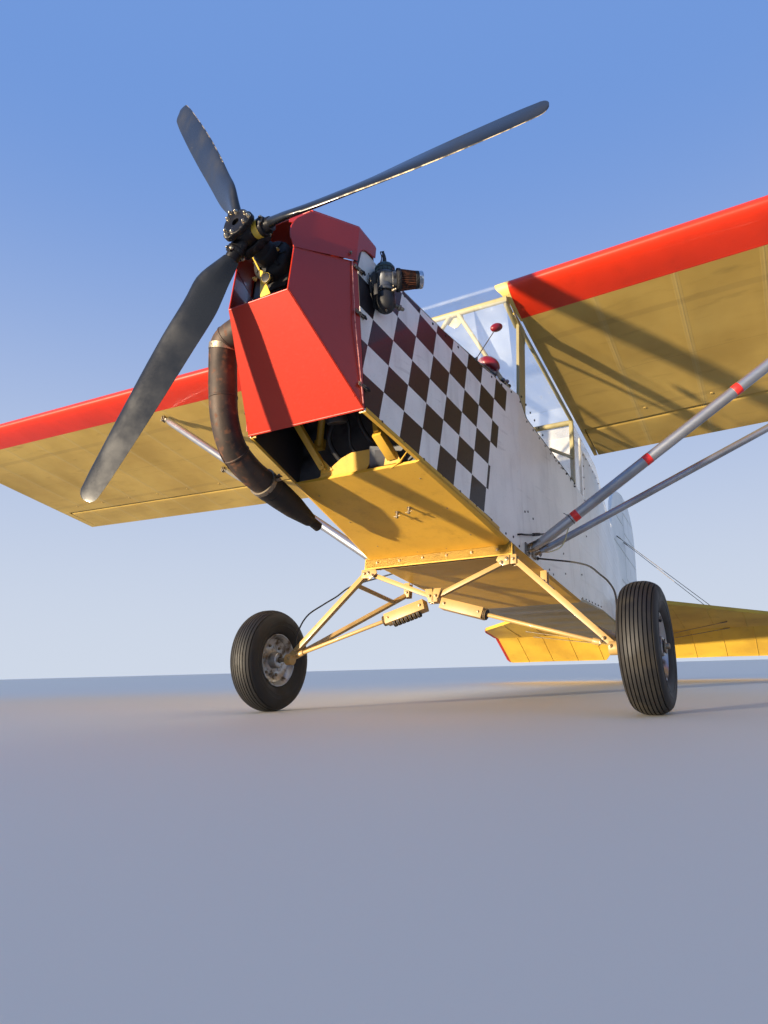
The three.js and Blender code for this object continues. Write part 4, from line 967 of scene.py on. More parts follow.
# Float bowl and its neighbours are black with age and rubber
carb.turned(
    (intake_x, 345, -28), -lean, [(-6, 26), (0, 30), (24, 30), (34, 27), (44, 22), (50, 14), (52, 6)], 32)
carb.turned((intake_x - 26, 348, -18), -lean, [(-14, 20), (0, 22), (34, 21), (42, 16)], 26)
carb.turned((138, 352, -8), (1, 0, 0), [(-10, 36), (40, 36), (46, 31)], 28)
carb.tube(smooth_line([
    (intake_x, 325, 74), (intake_x, 322, 92), (intake_x - 2, 319, 106), (intake_x - 5, 317, 116)], 4),
    [7, 6.8, 6.4, 6, 5.6, 5.2, 5, 4.6, 4.4, 4, 3.6, 3.2, 3], 12)
carb.tube(smooth_line([(200, 318, -24), (206, 298, 8), (212, 306, 30), (222, 322, 40)], 6), 4.4, 10)
carb.slab(
    [(200, 304, -4), (204, 294, 14), (212, 300, 36), (218, 312, 30), (214, 314, 8), (206, 312, -12)],
    (5, 2, 0))
carb.slab([(222, 300, -52), (222, 296, -20), (232, 296, -16), (234, 302, -50)], (0, 4, 0))
carb.mark = 4
carb.turned((intake_x + 24, 372, -52), (0.7, 0.6, -0.3), [
    (-12, 6), (4, 6), (5, 9), (12, 9), (14, 6), (22, 5), (24, 3)], 16)
carb.tube([(200, 296, 30), (208, 292, 8), (216, 300, -14)], 1.6, 8)
for k in range(4):
    a = pi / 4 + pi * k / 2
    side = lean.orthogonal().normalized()
    place = Vector((intake_x, 343, -22)) + (side * cos(a) + lean.cross(side) * sin(a)) * 26
    carb.bolt(place, lean, 3.0, stub=1)
carb.bolt((intake_x + 10, 341, -84), (0.1, 0, -1), 3.4)
carb.bolt((intake_x + 28, 338, -6), (1, 0, 0), 3)
carb.turned((intake_x + 26, 340, -20), (1, -0.2, 0), [(0, 5), (9, 5), (10, 3.6), (15, 3.4)], 14)
# Choke and throttle cables leave the cap in a V and go back through the panel
cable_ends = [(206, 352, 62), (200, 330, 60)]
for end, peak in zip(cable_ends, ((226, 326, 124), (220, 318, 118))):
    carb.tube(smooth_line([(intake_x - 4, 317, 112), peak, (214, 336, 108), end], 7), 1.7, 8)
carb.build(
    "carburettor_body", "airframe", "engine_metal", [grip_rubber, pot_metal, cap_green, black_plastic,
    plated], ["carburettor"], bevel=0.5, angle=40)

filter_cloth = Finish("filter_pleats", tint(150, 84, 44), 0.8)
filter_axis = Vector((54.4, 38.6, 11.3)).normalized()
filter_start = Vector((264.6, 347.4, 21.7))
filter_low = filter_cloth.noise(9, 3)
filter_cloth.set("Base Color", filter_cloth.mix(
    filter_low.grade(0.42, 0.62), tint(104, 56, 30), tint(58, 34, 26)))
filter_cloth.relief(filter_cloth.noise(1.3, 2), 0.3)
# Pleat valleys are painted near black: painted shade in the creases between the pleats.
filter_valley_shade = Finish("filter_valleys_painted_shade", tint(28, 22, 22), 0.85)
filter_valley_shade.set("Base Color", filter_valley_shade.mix(
    filter_valley_shade.noise(7).grade(0.4, 0.65), tint(16, 13, 14), tint(34, 24, 22)))
chrome = worn(
    "filter_cap", 1.0, tint(206, 210, 214), tint(150, 152, 156), (24, 4), (0.5, 0.7), (0.1, 0.14, 16, 4))
air_filter = Shape()
side = filter_axis.orthogonal().normalized()
other = filter_axis.cross(side)
pleats = 36
rings = []
for along, outer in ((9, 31.5), (56, 25.5)):
    ring = []
    for k in range(pleats * 4):
        a = 2 * pi * k / (pleats * 4)
        reach = outer - (0, 1.9, 3.8, 1.9)[k % 4]
        ring.append(filter_start + filter_axis * along + (side * cos(a) + other * sin(a)) * reach)
    rings.append(ring)
air_filter.skin(rings)
# Faces in the pleats' valleys take the near-black finish, as painted shade.
for k in range(pleats * 4):
    air_filter.marks[k] = 3 if k % 4 in (1, 2) else 0
air_filter.mark = 1
air_filter.turned(filter_start, filter_axis, [(-1, 25), (0, 33), (2, 33.8), (9, 33.4), (11, 32)], 40)
air_filter.turned(filter_start, filter_axis, [(-3, 27.5), (5, 27.5)], 32)
air_filter.turned(filter_start, filter_axis, [(54, 24.5), (55, 26), (63, 25.6), (65, 25)], 40)
air_filter.mark = 2
air_filter.turned(filter_start, filter_axis, [
    (64, 24.8), (66, 25.8), (74, 25.6), (76.5, 24.2), (77, 20), (74, 17), (73, 7)], 40)
air_filter.build(
    "cone_filter", "airframe", "black_plastic", [filter_cloth, grip_rubber, chrome, filter_valley_shade],
    ["air_filter"], angle=40)

# Firewall, outlet struts and engine mount: an aluminium bulkhead, and cream square and round
# tubes that are welded up and bolted to it. Hoses hang in the bay behind the engine, black in
# part as painted shade of the dark bay.
bay_metal = Finish("bay_metal", tint(120, 122, 126), 0.5, 0.6)
bay_oil = bay_metal.noise(150, 5).grade(0.42, 0.7)
bay_metal.set("Base Color", bay_metal.mix(bay_oil, tint(108, 110, 114), tint(40, 36, 34)))
bay_metal.set("Roughness", 0.42 + bay_metal.noise(20) * 0.25)
bay_metal.relief(bay_metal.noise(90, 2), 1.2)
bay_metal.dress("firewall")
mount = Shape()
feet = [((-110, 600, -402), (-158, 500, -282), 11), ((143, 600, -408), (141, 505, -372), 15)]
for foot, knee, half in feet:
    mount.square(foot, knee, half * 1.9, across=(1, 0.2, 0))
mount.square((-158, 500, -282), (-92, 530, -184), 16)
mount.square((141, 505, -372), (92, 530, -184), 16)
for s in (1, -1):
    mount.tube([(s * 80, 521, -170), (s * 150, 616, -300)], 12, 16)
    mount.tube([(s * 80, 521, 90), (s * 150, 616, 40)], 12, 16)
    mount.block((s * 150 - 18, 610, -318), (s * 150 + 18, 627.6, -282))
    mount.block((s * 150 - 18, 610, 22), (s * 150 + 18, 627.6, 58))
# Welded gusset at the foot of the left strut, and a flat foot under the other
mount.slab([(-128, 612, -420), (-78, 606, -414), (-112, 588, -376)], (4, -5, 2))
mount.slab([(112, 606, -428), (172, 606, -428), (160, 590, -396), (126, 590, -396)], (0, 5, 2))
for x, y, z in ((-110, 592, -398), (-100, 598, -408), (143, 588, -398)):
    mount.bolt((x, y - 6, z), (0, -0.9, -0.4), 4)
mount.block((-100, 505.4, -190), (100, 525, 110))
mount.build("engine_mount_tubes", "airframe", "cream_paint", [cream], ["engine_mount"], bevel=1.5)
bay = Shape()
bay.slab([(40, 640, -428), (150, 636, -428), (140, 560, -392), (84, 560, -380)], (0, 2, 2))
# Hoses are black, partly as painted shade of the dark bay.
bay.mark = 1
bay.tube(smooth_line([(-60, 520, -150), (-40, 540, -240), (-70, 560, -330), (-40, 620, -400)], 8), 9, 14)
bay.tube(smooth_line([(60, 510, -160), (40, 540, -260), (60, 580, -330), (90, 625, -360)], 8), 7, 14)
bay.tube(smooth_line([(-20, 500, -200), (10, 540, -290), (0, 580, -350), (20, 625, -380)], 8), 5, 12)
bay.turned((0, 470, -250), (0, 0.4, -1), [(-20, 34), (0, 36), (60, 36), (70, 30)], 28)
bay.build("bay_hoses", "airframe", "black_plastic", [bay_metal, black_plastic], bevel=0.6)

# Belly: cream aluminium panels under the floor, with angle strips along both lower edges, a
# scoop bent up from the front edge, and two split pins.
cream.dress("belly_rear")
belly = Shape()
belly_start, belly_length = 612, 591
stations = [belly_start + belly_length * k / 10 for k in range(11)]
belly_rings = []
for y in stations:
    share = (y - belly_start) / belly_length
    drop = 8 + 8 * share
    w, z = half_width(y) + 1, side_edge(y, 1) - 0.4
    belly_rings.append([Vector(p) for p in (
        (-w, y, z), (w, y, z), (w - 3, y, z - drop * 0.55), (w - 14, y, z - drop), (w * 0.4, y,
        z - drop - 1.5), (-w * 0.4, y, z - drop - 1.5), (-w + 14, y, z - drop), (-w + 3, y,
        z - drop * 0.55))])
belly.skin(belly_rings)
# Scoop: torn-edged flap that leads air out of the bay
flap = [
    (-146, 614, -432), (-104, 606, -410), (-78, 602, -400), (-38, 590, -384), (2, 584, -374),
    (80, 586, -374), (62, 606, -400), (27, 628, -434)]
belly.slab(flap, (0, 3, -2))
curl = [(137, 616, -434), (168, 606, -426), (196, 596, -402)]
belly.tube([(100, 628, -434)] + curl, [2, 5, 6, 4], 10, flat=0.5)
for s in (1, -1):
    edge = [(s * (half_width(y) + 1.5), y, side_edge(y, 1) - 1) for y in range(345, 1180, 60)]
    for first, second in zip(edge, edge[1:]):
        (x0, y0, z0), (x1, y1, z1) = first, second
        belly.slab([(x0, y0, z0 + 13), (x1, y1, z1 + 13), (x1, y1, z1 - 1), (x0, y0, z0 - 1)], (s * -2, 0, 0))
        belly.slab(
            [(x0, y0, z0 - 1), (x1, y1, z1 - 1), (x1 - s * 11, y1, z1 - 2), (x0 - s * 11, y0, z0 - 2)],
            (0, 0, 2))
    # Front end of the strip is bent up into the bay
    belly.slab(
        [(s * 200, 345, -402), (s * 180, 345, -403), (s * 178, 338, -384), (s * 196, 338, -386)], (0, 4, 0))
belly.block((-306, 1205, -538), (306, 1206.5, -495))
belly.build("belly_front_panel", "airframe", "cream_paint", [cream], ["belly_front"], angle=12)
pins = Shape()
for x, y in ((15, 876), (70, 858)):
    z = side_edge(y, 1) - 14
    pins.turned(
        (x, y, z), (0, 0, -1), [(0, 8), (1.5, 8), (2.5, 5), (16, 4.6), (20, 5.4), (22, 5), (23, 3)], 16)
    pins.tube([(x - 14, y + 2, z - 15), (x + 14, y - 3, z - 15)], 1.3, 8)
for x, y in (
        (-190, 700), (-190, 900), (-190, 1100), (190, 700), (190, 900), (190, 1100), (-60, 1180),
        (60, 1180)):
    pins.rivet((x, y, side_edge(y, 1) - 9.5 - 8 * (y - belly_start) / belly_length), (0, 0, -1), 3)
pins.build("belly_pins", "airframe", "black_steel", [plated])

# Fore deck and coaming: a rolled white sheet ahead of the cabin, with a black padded rim and a
# red ball on a wire standing on its left corner.
white = paint("white_panel", tint(242, 239, 230), roughness=0.26, coat=0.35, dirt=0.4)
white.dress("fore_deck")


def deck_height(x, y):
    crown = 52 + 78 * (y - 350) / 768
    arc = (half_width(y) ** 2 + crown ** 2) / (2 * crown)
    return side_edge(y, 2) + 1.5 + crown - arc + sqrt(max(arc ** 2 - min(abs(x), half_width(y)) ** 2, 0))


vinyl = worn("seat_vinyl", 0.0, tint(36, 34, 35), tint(58, 54, 52), (120, 4), (0.4, 0.7), (0.42, 0.2, 60))
vinyl_grain = Wire(vinyl.tree).node("TexVoronoi", {}, {"Vector": vinyl.place, "Scale": 420.0}, "Distance")
vinyl.relief(vinyl_grain * 0.7 + vinyl.noise(3) * 0.4, 0.4)
coaming = Shape()
rim = [(x, 1112, deck_height(x, 1112) + 3) for x in range(-270, 271, 20)]
coaming.tube(rim, 11, 14)
pad = []
for y, lift in ((1010, 2), (1022, 13), (1050, 19), (1084, 21), (1104, 17), (1112, 4)):
    pad.append([Vector((x, y, deck_height(x, y) + lift)) for x in range(186, 257, 10)] + [
        Vector((x, y, deck_height(x, y) - 2)) for x in range(256, 185, -10)])
coaming.skin(pad)
coaming.build("coaming", "airframe", "seat_vinyl", [vinyl])
signal_red = paint("signal_red", tint(124, 16, 28), roughness=0.3, coat=0.3, dirt=0.2, orange_peel=0.05)
marker = Shape()
marker_foot, marker_top = Vector((222, 1035, deck_height(222, 1035) + 18)), Vector((285, 1088, 364))
marker.tube([marker_foot, marker_top], 1.8, 8)
marker.turned(marker_foot, marker_top - marker_foot, [(0, 9), (4, 9), (6, 6), (14, 4)], 14)
marker.mark = 1
marker_axis = Vector((0.42, 0.5, 0.42)).normalized()
marker.turned(marker_top, marker_axis, [
    (28 * (1 - cos(pi * k / 12)) - 28, 17 * sin(pi * k / 12) + 0.3) for k in range(13)], 24)
marker.build("deck_marker", "airframe", "black_steel", [plated, signal_red])

# Instrument panel: a black sheet under the coaming, with round dials screwed in from behind.
# A rolled red item and some small black levers stand at its left end.
dial_face = Finish("dial_face", tint(20, 20, 22), 0.3)
dial_face.set("Base Color", dial_face.mix(dial_face.specks(9, 0.12), tint(20, 20, 22), tint(196, 194, 182)))
dial_face.set("Roughness", 0.2 + dial_face.noise(30) * 0.1)
black_plastic.dress("instrument_panel")
dials = Shape()
for x, z, size in (
        (-150, 150, 40), (-60, 190, 40), (40, 190, 40), (130, 150, 40), (-100, 60, 28), (0, 70, 36),
        (100, 60, 28)):
    dials.mark = 0
    dials.turned((x, 1132, z), (0, 1, 0), [(0, size + 5), (6, size + 4), (8, size), (4, size - 2)], 32)
    dials.mark = 1
    dials.turned((x, 1132, z), (0, 1, 0), [(0, size), (4.5, size - 1)], 32)
    dials.mark = 2
    turn_by = x * 0.02 + z * 0.013
    tip = Vector((x + cos(turn_by) * size * 0.7, 1137.4, z + sin(turn_by) * size * 0.7))
    dials.tube([(x, 1137.4, z), tip], [2.4, 0.6], 6)
    for k in range(10):
        a = 2 * pi * k / 10
        dials.tube([
            (x + cos(a) * size * 0.74, 1137, z + sin(a) * size * 0.74), (x + cos(a) * size * 0.9, 1137,
            z + sin(a) * size * 0.9)], 0.8, 6)
for x in (-180, 0, 180):
    dials.bolt((x, 1132, 20), (0, 1, 0), 4)
dials.build("dials", "airframe", "black_plastic", [black_plastic, dial_face, cream], bevel=0.6)
cockpit_bits = Shape()
cockpit_bits.tube(
    smooth_line([(176, 1176, 276), (200, 1182, 280), (226, 1190, 272), (250, 1200, 248)], 6), [16, 19, 22,
    24, 26, 28, 29, 30, 30, 30, 30, 29, 28, 27, 25, 23, 20, 16, 11], 14)
cockpit_bits.mark = 1
for k in range(5):
    cockpit_bits.turned(
        (252 + k * 5, 1218 + k * 8, 186 + (k % 2) * 18), (0.3, 0.5, 1), [(0, 8), (14, 9), (18, 7)], 12)
cockpit_bits.build("cockpit_bits", "airframe", "black_plastic", [signal_red, black_plastic])

# Cabin frame: cream painted tubes, with a V behind the windscreen, posts at the doors and a hoop
# at the back. Gussets are riveted on at the corners.
cabin_cream = paint(
    "cabin_cream", tint(164, 154, 112), roughness=0.42, coat=0.12, dirt=0.5, soil=tint(84, 74, 46))
cabin = Shape()
cabin.tube([(-300, 1168, 558), (300, 1168, 558)], 13, 20)
cabin.tube([(-276, 1258, 176), (276, 1258, 176)], 10, 16)
cabin.tube([(78, 1168, 558), (276, 1244, 176)], 9, 16)
cabin.tube([(46, 1168, 558), (-276, 1244, 176)], 9, 16)
for s in (1, -1):
    cabin.slab(
        [(s * 292, 1298, 162), (s * 292, 1374, 112), (s * 292, 1374, 538), (s * 292, 1298, 538)],
        (s * 12, 0, 0))
    cabin.tube([(s * 287, 1168, 558), (s * 287, 1319, 528)], 11, 16)
    cabin.slab(
        [(s * 304, 1180, 550), (s * 304, 1374, 536), (s * 304, 1374, 470), (s * 304, 1296, 512)],
        (s * 2, 0, 0))
    for y, z in ((1325, 508), (1352, 500), (1290, 526), (1230, 538)):
        cabin.rivet((s * 306, y, z), (s, 0, 0), 3.2)
    for z in range(190, 470, 46):
        cabin.rivet((s * 304, 1305, z), (s, 0, 0), 2.6)
        cabin.rivet((s * 304, 1367, z), (s, 0, 0), 2.6)
cabin.slab([
    (28, 1178, 556), (96, 1178, 556), (102, 1184, 530), (70, 1190, 504), (54, 1190, 504), (22, 1184, 530)],
    (0, 2.5, 0))
cabin.build("windscreen_tubes", "airframe", "cream_paint", [cabin_cream], ["windscreen_frame"], bevel=2.0)
chord_length, wing_front, aileron_axis_y = 1405.0, 1135, 2290
root_x, tip_x, root_z, dihedral, incidence = 312, 3970, 554, radians(1.9), radians(2.6)


def half_thickness(u):
    return 5 * 0.117 * (0.2969 * sqrt(u) - 0.126 * u - 0.3516 * u ** 2 + 0.2843 * u ** 3 - 0.1015 * u ** 4)


def lower_rise(u):
    return 0.035 * (1 - sqrt(u / 0.3)) ** 2 if u < 0.3 else 0.0


def wing_low(x, y):
    return root_z + (abs(x) - root_x) * tan(dihedral) - (y - 1080) * tan(incidence)


def on_wing(x, u, upper, lift=0.0):
    """A point of the wing's section at a share of the chord; lift stands it off the skin."""
    y = wing_front + u * chord_length
    rise = lower_rise(u) + (max(2 * half_thickness(u), 0.0022) if upper else 0)
    return Vector((x, y, wing_low(x, y) + rise * chord_length + (lift if upper else -lift)))


hoop_y = 2130
hoop_top = wing_low(root_x, hoop_y) - 6
rear_frame = Shape()
for s in (1, -1):
    rear_frame.block(
        (min(s * 285, s * 304), hoop_y - 10, 138), (max(s * 285, s * 304), hoop_y + 10, hoop_top))
    rear_frame.tube([(s * 294, 1752, 148), (s * 294, hoop_y, 285)], 8, 14)
    for z in range(160, 460, 50):
        rear_frame.rivet((s * 304, hoop_y, z), (s, 0, 0), 2.6)
    rear_frame.tube([(s * 296, 1319, 534), (s * 296, hoop_y, hoop_top - 2)], 9, 14)
rear_frame.tube([(-300, hoop_y, hoop_top - 12), (300, hoop_y, hoop_top - 12)], 14, 18)
rear_frame.build(
    "rear_cabin_tubes", "airframe", "cream_paint", [cabin_cream], ["rear_cabin_frame"], bevel=2.0)

# Clear sheets: windscreen, roof and quarter windows in thin scratched plastic, held by small
# black buttons along the sill.
clear = Finish("clear_plastic", tint(226, 236, 246), 0.06, alpha=0.2)
haze = clear.noise(160, 5).grade(0.35, 0.75)
scuff = clear.noise(22, 5, (1, 0.1, 1)).grade(0.6, 0.74)
clear.set("Alpha", 0.06 + haze * 0.07 + scuff * 0.07)
clear.set("Roughness", 0.05 + haze * 0.12 + scuff * 0.1)
clear.relief(clear.noise(200, 2), 1.0)
clear.dress("windscreen", "roof_panel", "quarter_window_left", "quarter_window_right")
door_gap = Shape()
for s in (1, -1):
    for k in range(6):
        door_gap.turned(
            (s * 304, 1770 + k * 66, side_edge(1770 + k * 66, 2) - 6), (s, 0, 0), [(0, 5), (5.5, 4.4),
            (6.5, 3)], 10)
    for k in range(6):
        door_gap.turned((s * 304, 1318 + k * 56, 176 - k * 7), (s, 0, 0), [(0, 5), (3, 4.4), (4, 3)], 10)
    door_gap.turned((s * 305.5, 2096, 108), (s, 0, 0), [(0, 5), (3, 4.4), (4, 3)], 10)
    # Black edging strip along the sill
    sill = [(s * 302, y, side_edge(y, 2) + 3) for y in range(1290, 2140, 50)]
    door_gap.tube(sill, 4, 8)
door_gap.build("sill_edging", "airframe", "black_plastic", [black_plastic])

# Seat: two vinyl pads on a bent board, each with a piped seam and sewn channels. The pads are
# crowned and their sides pull in between the corners. A lap strap lies over them.
webbing = worn("webbing", 0.0, tint(60, 62, 66), tint(88, 88, 90), (40, 4), (0.4, 0.7), (0.7, 0.15, 12))
weave = abs((webbing.x % 3) - 1.5) * 0.5 + abs((webbing.y % 2.4) - 1.2) * 0.5
webbing.relief(weave, 0.5)


def cushion(name, corner, along, across, thick, channels):
    """A stuffed pad: corner is its middle, along and across its half sizes, thick its height."""
    corner, along, across = Vector(corner), Vector(along), Vector(across)
    rise = across.cross(along).normalized()
    if rise.y > 0 and abs(rise.y) > abs(rise.z) or rise.z < 0 and abs(rise.z) >= abs(rise.y):
        rise = -rise
    cells = 28
    pad = Shape()
    top, bottom = [], []
    for r in range(cells + 1):
        upper, lower = [], []
        for c in range(cells + 1):
            a, b = 2 * r / cells - 1, 2 * c / cells - 1
            # Sides pull in between the corners
            pull_a = 1 - 0.035 * (1 - b * b)
            pull_b = 1 - 0.035 * (1 - a * a)
            edge = (1 - abs(a) ** 5) * (1 - abs(b) ** 5)
            crown = edge ** 0.42 * thick * (0.72 + 0.28 * (1 - a * a) * (1 - b * b))
            groove = min(abs(((b + 1) * channels / 2) % 1 - 0.5) * 2, 1)
            valley = (1 - min((1 - groove) * 5, 1)) * thick * 0.16 * edge
            base = corner + along * a * pull_a + across * b * pull_b
            upper.append(base + rise * (thick * 0.3 + crown - valley - thick * 0.3 * (1 - edge)))
            lower.append(base)
        top.append(upper)
        bottom.append(lower)
    pad.skin(top, ends=False, closed=False)
    pad.skin(bottom, ends=False, closed=False)
    rim = (
        [(0, c) for c in range(cells)] + [(r, cells) for r in range(cells)] + [(cells,
        c) for c in range(cells, 0, -1)] + [(r, 0) for r in range(cells, 0, -1)])
    pad.skin([[top[r][c] for r, c in rim], [bottom[r][c] for r, c in rim]], ends=False)
    piping = [top[r][c] for r, c in rim]
    pad.mark = 1
    pad.tube(piping + [piping[0]], 3.2, 8)
    piece = pad.build(name, "airframe", "seat_vinyl", [vinyl, grip_rubber], angle=60)


cushion("seat_cushion", (0, 1752, -272), (0, 172, -14), (176, 0, 0), 46, 5)
cushion("seat_back", (0, 1978, -60), (0, 30, 224), (172, 0, 0), 40, 5)
board = Shape()
board.slab([(-190, 1560, -296), (190, 1560, -296), (190, 1960, -326), (-190, 1960, -326)], (0, 0.6, 9))
board.slab([(-190, 1946, -326), (190, 1946, -326), (190, 2004, 190), (-190, 2004, 190)], (0, 9, -1))
for s in (1, -1):
    board.tube([(s * 196, 1556, -302), (s * 196, 1958, -332), (s * 196, 2010, 196)], 10, 14)
    board.tube([(s * 190, 1600, -305), (s * 190, 1600, -440)], 9, 12)
    board.tube([(s * 190, 1930, -330), (s * 190, 1930, -450)], 9, 12)
board.tube([(-196, 2010, 196), (196, 2010, 196)], 10, 14)
board.build("seat_frame", "airframe", "black_steel", [black_steel], ["seat"], bevel=1.0)
strap = Shape()
for s in (1, -1):
    line = smooth_line([
        (s * 192, 1900, -320), (s * 186, 1880, -262), (s * 150, 1850, -232), (s * 90, 1830, -216),
        (s * 34, 1816, -212)], 8)
    strap.skin([[
        p + Vector((0, -21, 0)), p + Vector((0, 21, 4)), p + Vector((0, 21, 5.6)),
        p + Vector((0, -21, 1.6))] for p in line])
    line = smooth_line([
        (s * 80, 2006, 210), (s * 78, 1968, 196), (s * 72, 1930, 80), (s * 62, 1900, -60), (s * 52, 1872,
        -190), (s * 40, 1830, -210)], 8)
    strap.skin([[
        p + Vector((-21, -3, 0)), p + Vector((21, -3, 0)), p + Vector((21, -5, 0)),
        p + Vector((-21, -5, 0))] for p in line])
strap.mark = 1
strap.slab([(-34, 1794, -212), (34, 1794, -212), (34, 1838, -209), (-34, 1838, -209)], (0, 0, 8))
strap.build("harness", "airframe", "black_plastic", [webbing, plated], angle=50)

# Control stick: a bent black steel tube, pinned at the floor under a rubber boot, with a
# moulded grip and a push button on top.
stick = Shape()
stick.tube(smooth_line([(0, 1480, -440), (0, 1472, -380), (0, 1446, -240), (0, 1432, -150)], 5), 9, 18)
stick.mark = 1
stick.turned((0, 1432, -150), (0, -0.164, 0.986), [
    (0, 11), (3, 16), (12, 17), (24, 14.5), (36, 17), (48, 14.5), (60, 17), (74, 14.5), (88, 17),
    (106, 15.5), (116, 12), (120, 6)], 26)
stick.mark = 2
stick.turned((0, 1412, -32), (0, -0.164, 0.986), [(0, 6), (5, 5.6), (6, 4)], 16)
stick.turned((0, 1480, -444), (0, 0, 1), [(0, 26), (8, 26), (12, 20), (22, 14)], 24)
stick.build("stick", "airframe", "black_plastic", [black_steel, grip_rubber, signal_red], ["control_stick"])

# Leading edges: orange-red aluminium sheet wrapped round the wing's nose ribs, and riveted to
# the front spar along its rear edge.
edge_paint = paint(
    "leading_edge_paint", tint(206, 44, 4), roughness=0.4, coat=0.12, dirt=0.28, soil=tint(84, 26, 16))
lap = edge_paint.y.near(wing_front + 0.117 * chord_length, 3)
rivet_line = edge_paint.y.near(
    wing_front + 0.108 * chord_length, 2.2) * abs((edge_paint.x % 60) - 30).grade(3.4, 2.0)
rib_dent = abs((edge_paint.x % 305) - 152).grade(150, 100)
edge_paint.relief(rivet_line * 0.8 + lap * 0.4 - rib_dent * 0.7 + edge_paint.noise(5) * 0.1, 1.0)
nose_upper = [0.121, 0.105, 0.09, 0.075, 0.06, 0.048, 0.037, 0.027, 0.019, 0.012, 0.0065, 0.0028, 0.0008]
nose_lower = [0.0, 0.0012, 0.0035, 0.008, 0.015, 0.024, 0.036, 0.05, 0.066, 0.084, 0.102, 0.121]
bays = 12
rib_pitch = (tip_x - root_x) / bays
for name, s in both_sides:
    nose = Shape()
    rings = []
    for k in range(37):
        x = s * (root_x + (tip_x - root_x) * k / 36)
        rings.append([on_wing(x, u, True) for u in nose_upper] + [on_wing(x, u, False) for u in nose_lower])
    nose.skin(rings)
    nose.build(
        f"wing_nose_{name}", "airframe", "orange_paint", [edge_paint], [f"leading_edge_{name}"], angle=30)

# Root caps: cream sheet strips, folded over the wing's nose where it meets the cabin roof and
# riveted underneath.
root_yellow = paint("root_cap_paint", tint(224, 198, 118), roughness=0.45, coat=0.1, dirt=0.3)
root_cap = Shape()
for s in (1, -1):
    rings = []
    cap_line = [
        (0.05, True, 66), (0.03, True, 64), (0.015, True, 62), (0.006, True, 60), (0.0015, True, 58),
        (0.0, False, 54), (0.003, False, 48), (0.01, False, 40), (0.022, False, 32), (0.04, False, 24),
        (0.062, False, 17), (0.09, False, 12), (0.13, False, 8)]
    for u, upper, wide in cap_line:
        outer, inner = on_wing(s * 314, u, upper, 1.5), on_wing(s * (314 - wide), u, upper, 1.5)
        under = (on_wing(s * (314 - wide), u, upper, -3.5), on_wing(s * 314, u, upper, -3.5))
        rings.append([outer, inner, *under])
    root_cap.skin(rings)
    for u in (0.02, 0.05, 0.08):
        root_cap.rivet(on_wing(s * 306, u, False, 1.6), (0, -0.3, -1), 2.8)
    root_cap.bolt((s * 300, 1246, 540), (s * 0.2, -0.6, -0.8), 4.4)
root_cap.build("wing_root_caps", "airframe", "cream_paint", [root_yellow], angle=30)

# Wings: cream doped fabric over ribs, drawn in a little between them. Rib tapes and patches show
# through from below, and the spars as darker bands of painted shade.
fabric = Finish("wing_fabric", tint(206, 182, 128), 0.62)
rib_place = abs(((abs(fabric.x) - root_x + rib_pitch / 2) % rib_pitch) - rib_pitch / 2)
tape = rib_place.grade(15, 12.5)
rib_core = rib_place.grade(4, 2)
spar = fabric.y.near(1470, 22) + fabric.y.near(2160, 20)
span_seam = abs(fabric.y - 1820).grade(3, 1)
doped = fabric.noise(520, 4)
brush = fabric.noise(50, 5, (0.25, 1, 1))
old = fabric.mix(doped.grade(0.32, 0.7), tint(190, 160, 82), tint(168, 138, 64))
taped = fabric.mix(tape * 0.3 + rib_core * 0.2, old, tint(182, 160, 102))
# Darker bands along the spars are painted shade of the spars through the cloth; the span seam is darker as
# well.
spar_shade_and_seam = fabric.mix(spar.grade(0, 1) * 0.2 + span_seam * 0.25, taped, tint(122, 100, 54))
stained = fabric.mix(brush.grade(0.56, 0.8) * 0.3, spar_shade_and_seam, tint(96, 78, 42))
fabric.set("Base Color", stained)
fabric.set("Roughness", 0.52 + brush * 0.2)
thread = fabric.noise(1.4, 2)
fabric.relief(tape * 0.35 + rib_core * 0.5 + brush * 0.5 + thread * 0.12 + doped * 2.0, 0.8)


def sag(x, u):
    """How far the fabric draws in: most midway between two ribs, none at the spars' edges."""
    phase = ((abs(x) - root_x) % rib_pitch) / rib_pitch
    return 5.0 * (4 * phase * (1 - phase)) ** 0.8 * max(
        sin(pi * min(max((u - 0.121) / 0.68, 0), 1)), 0) ** 0.6


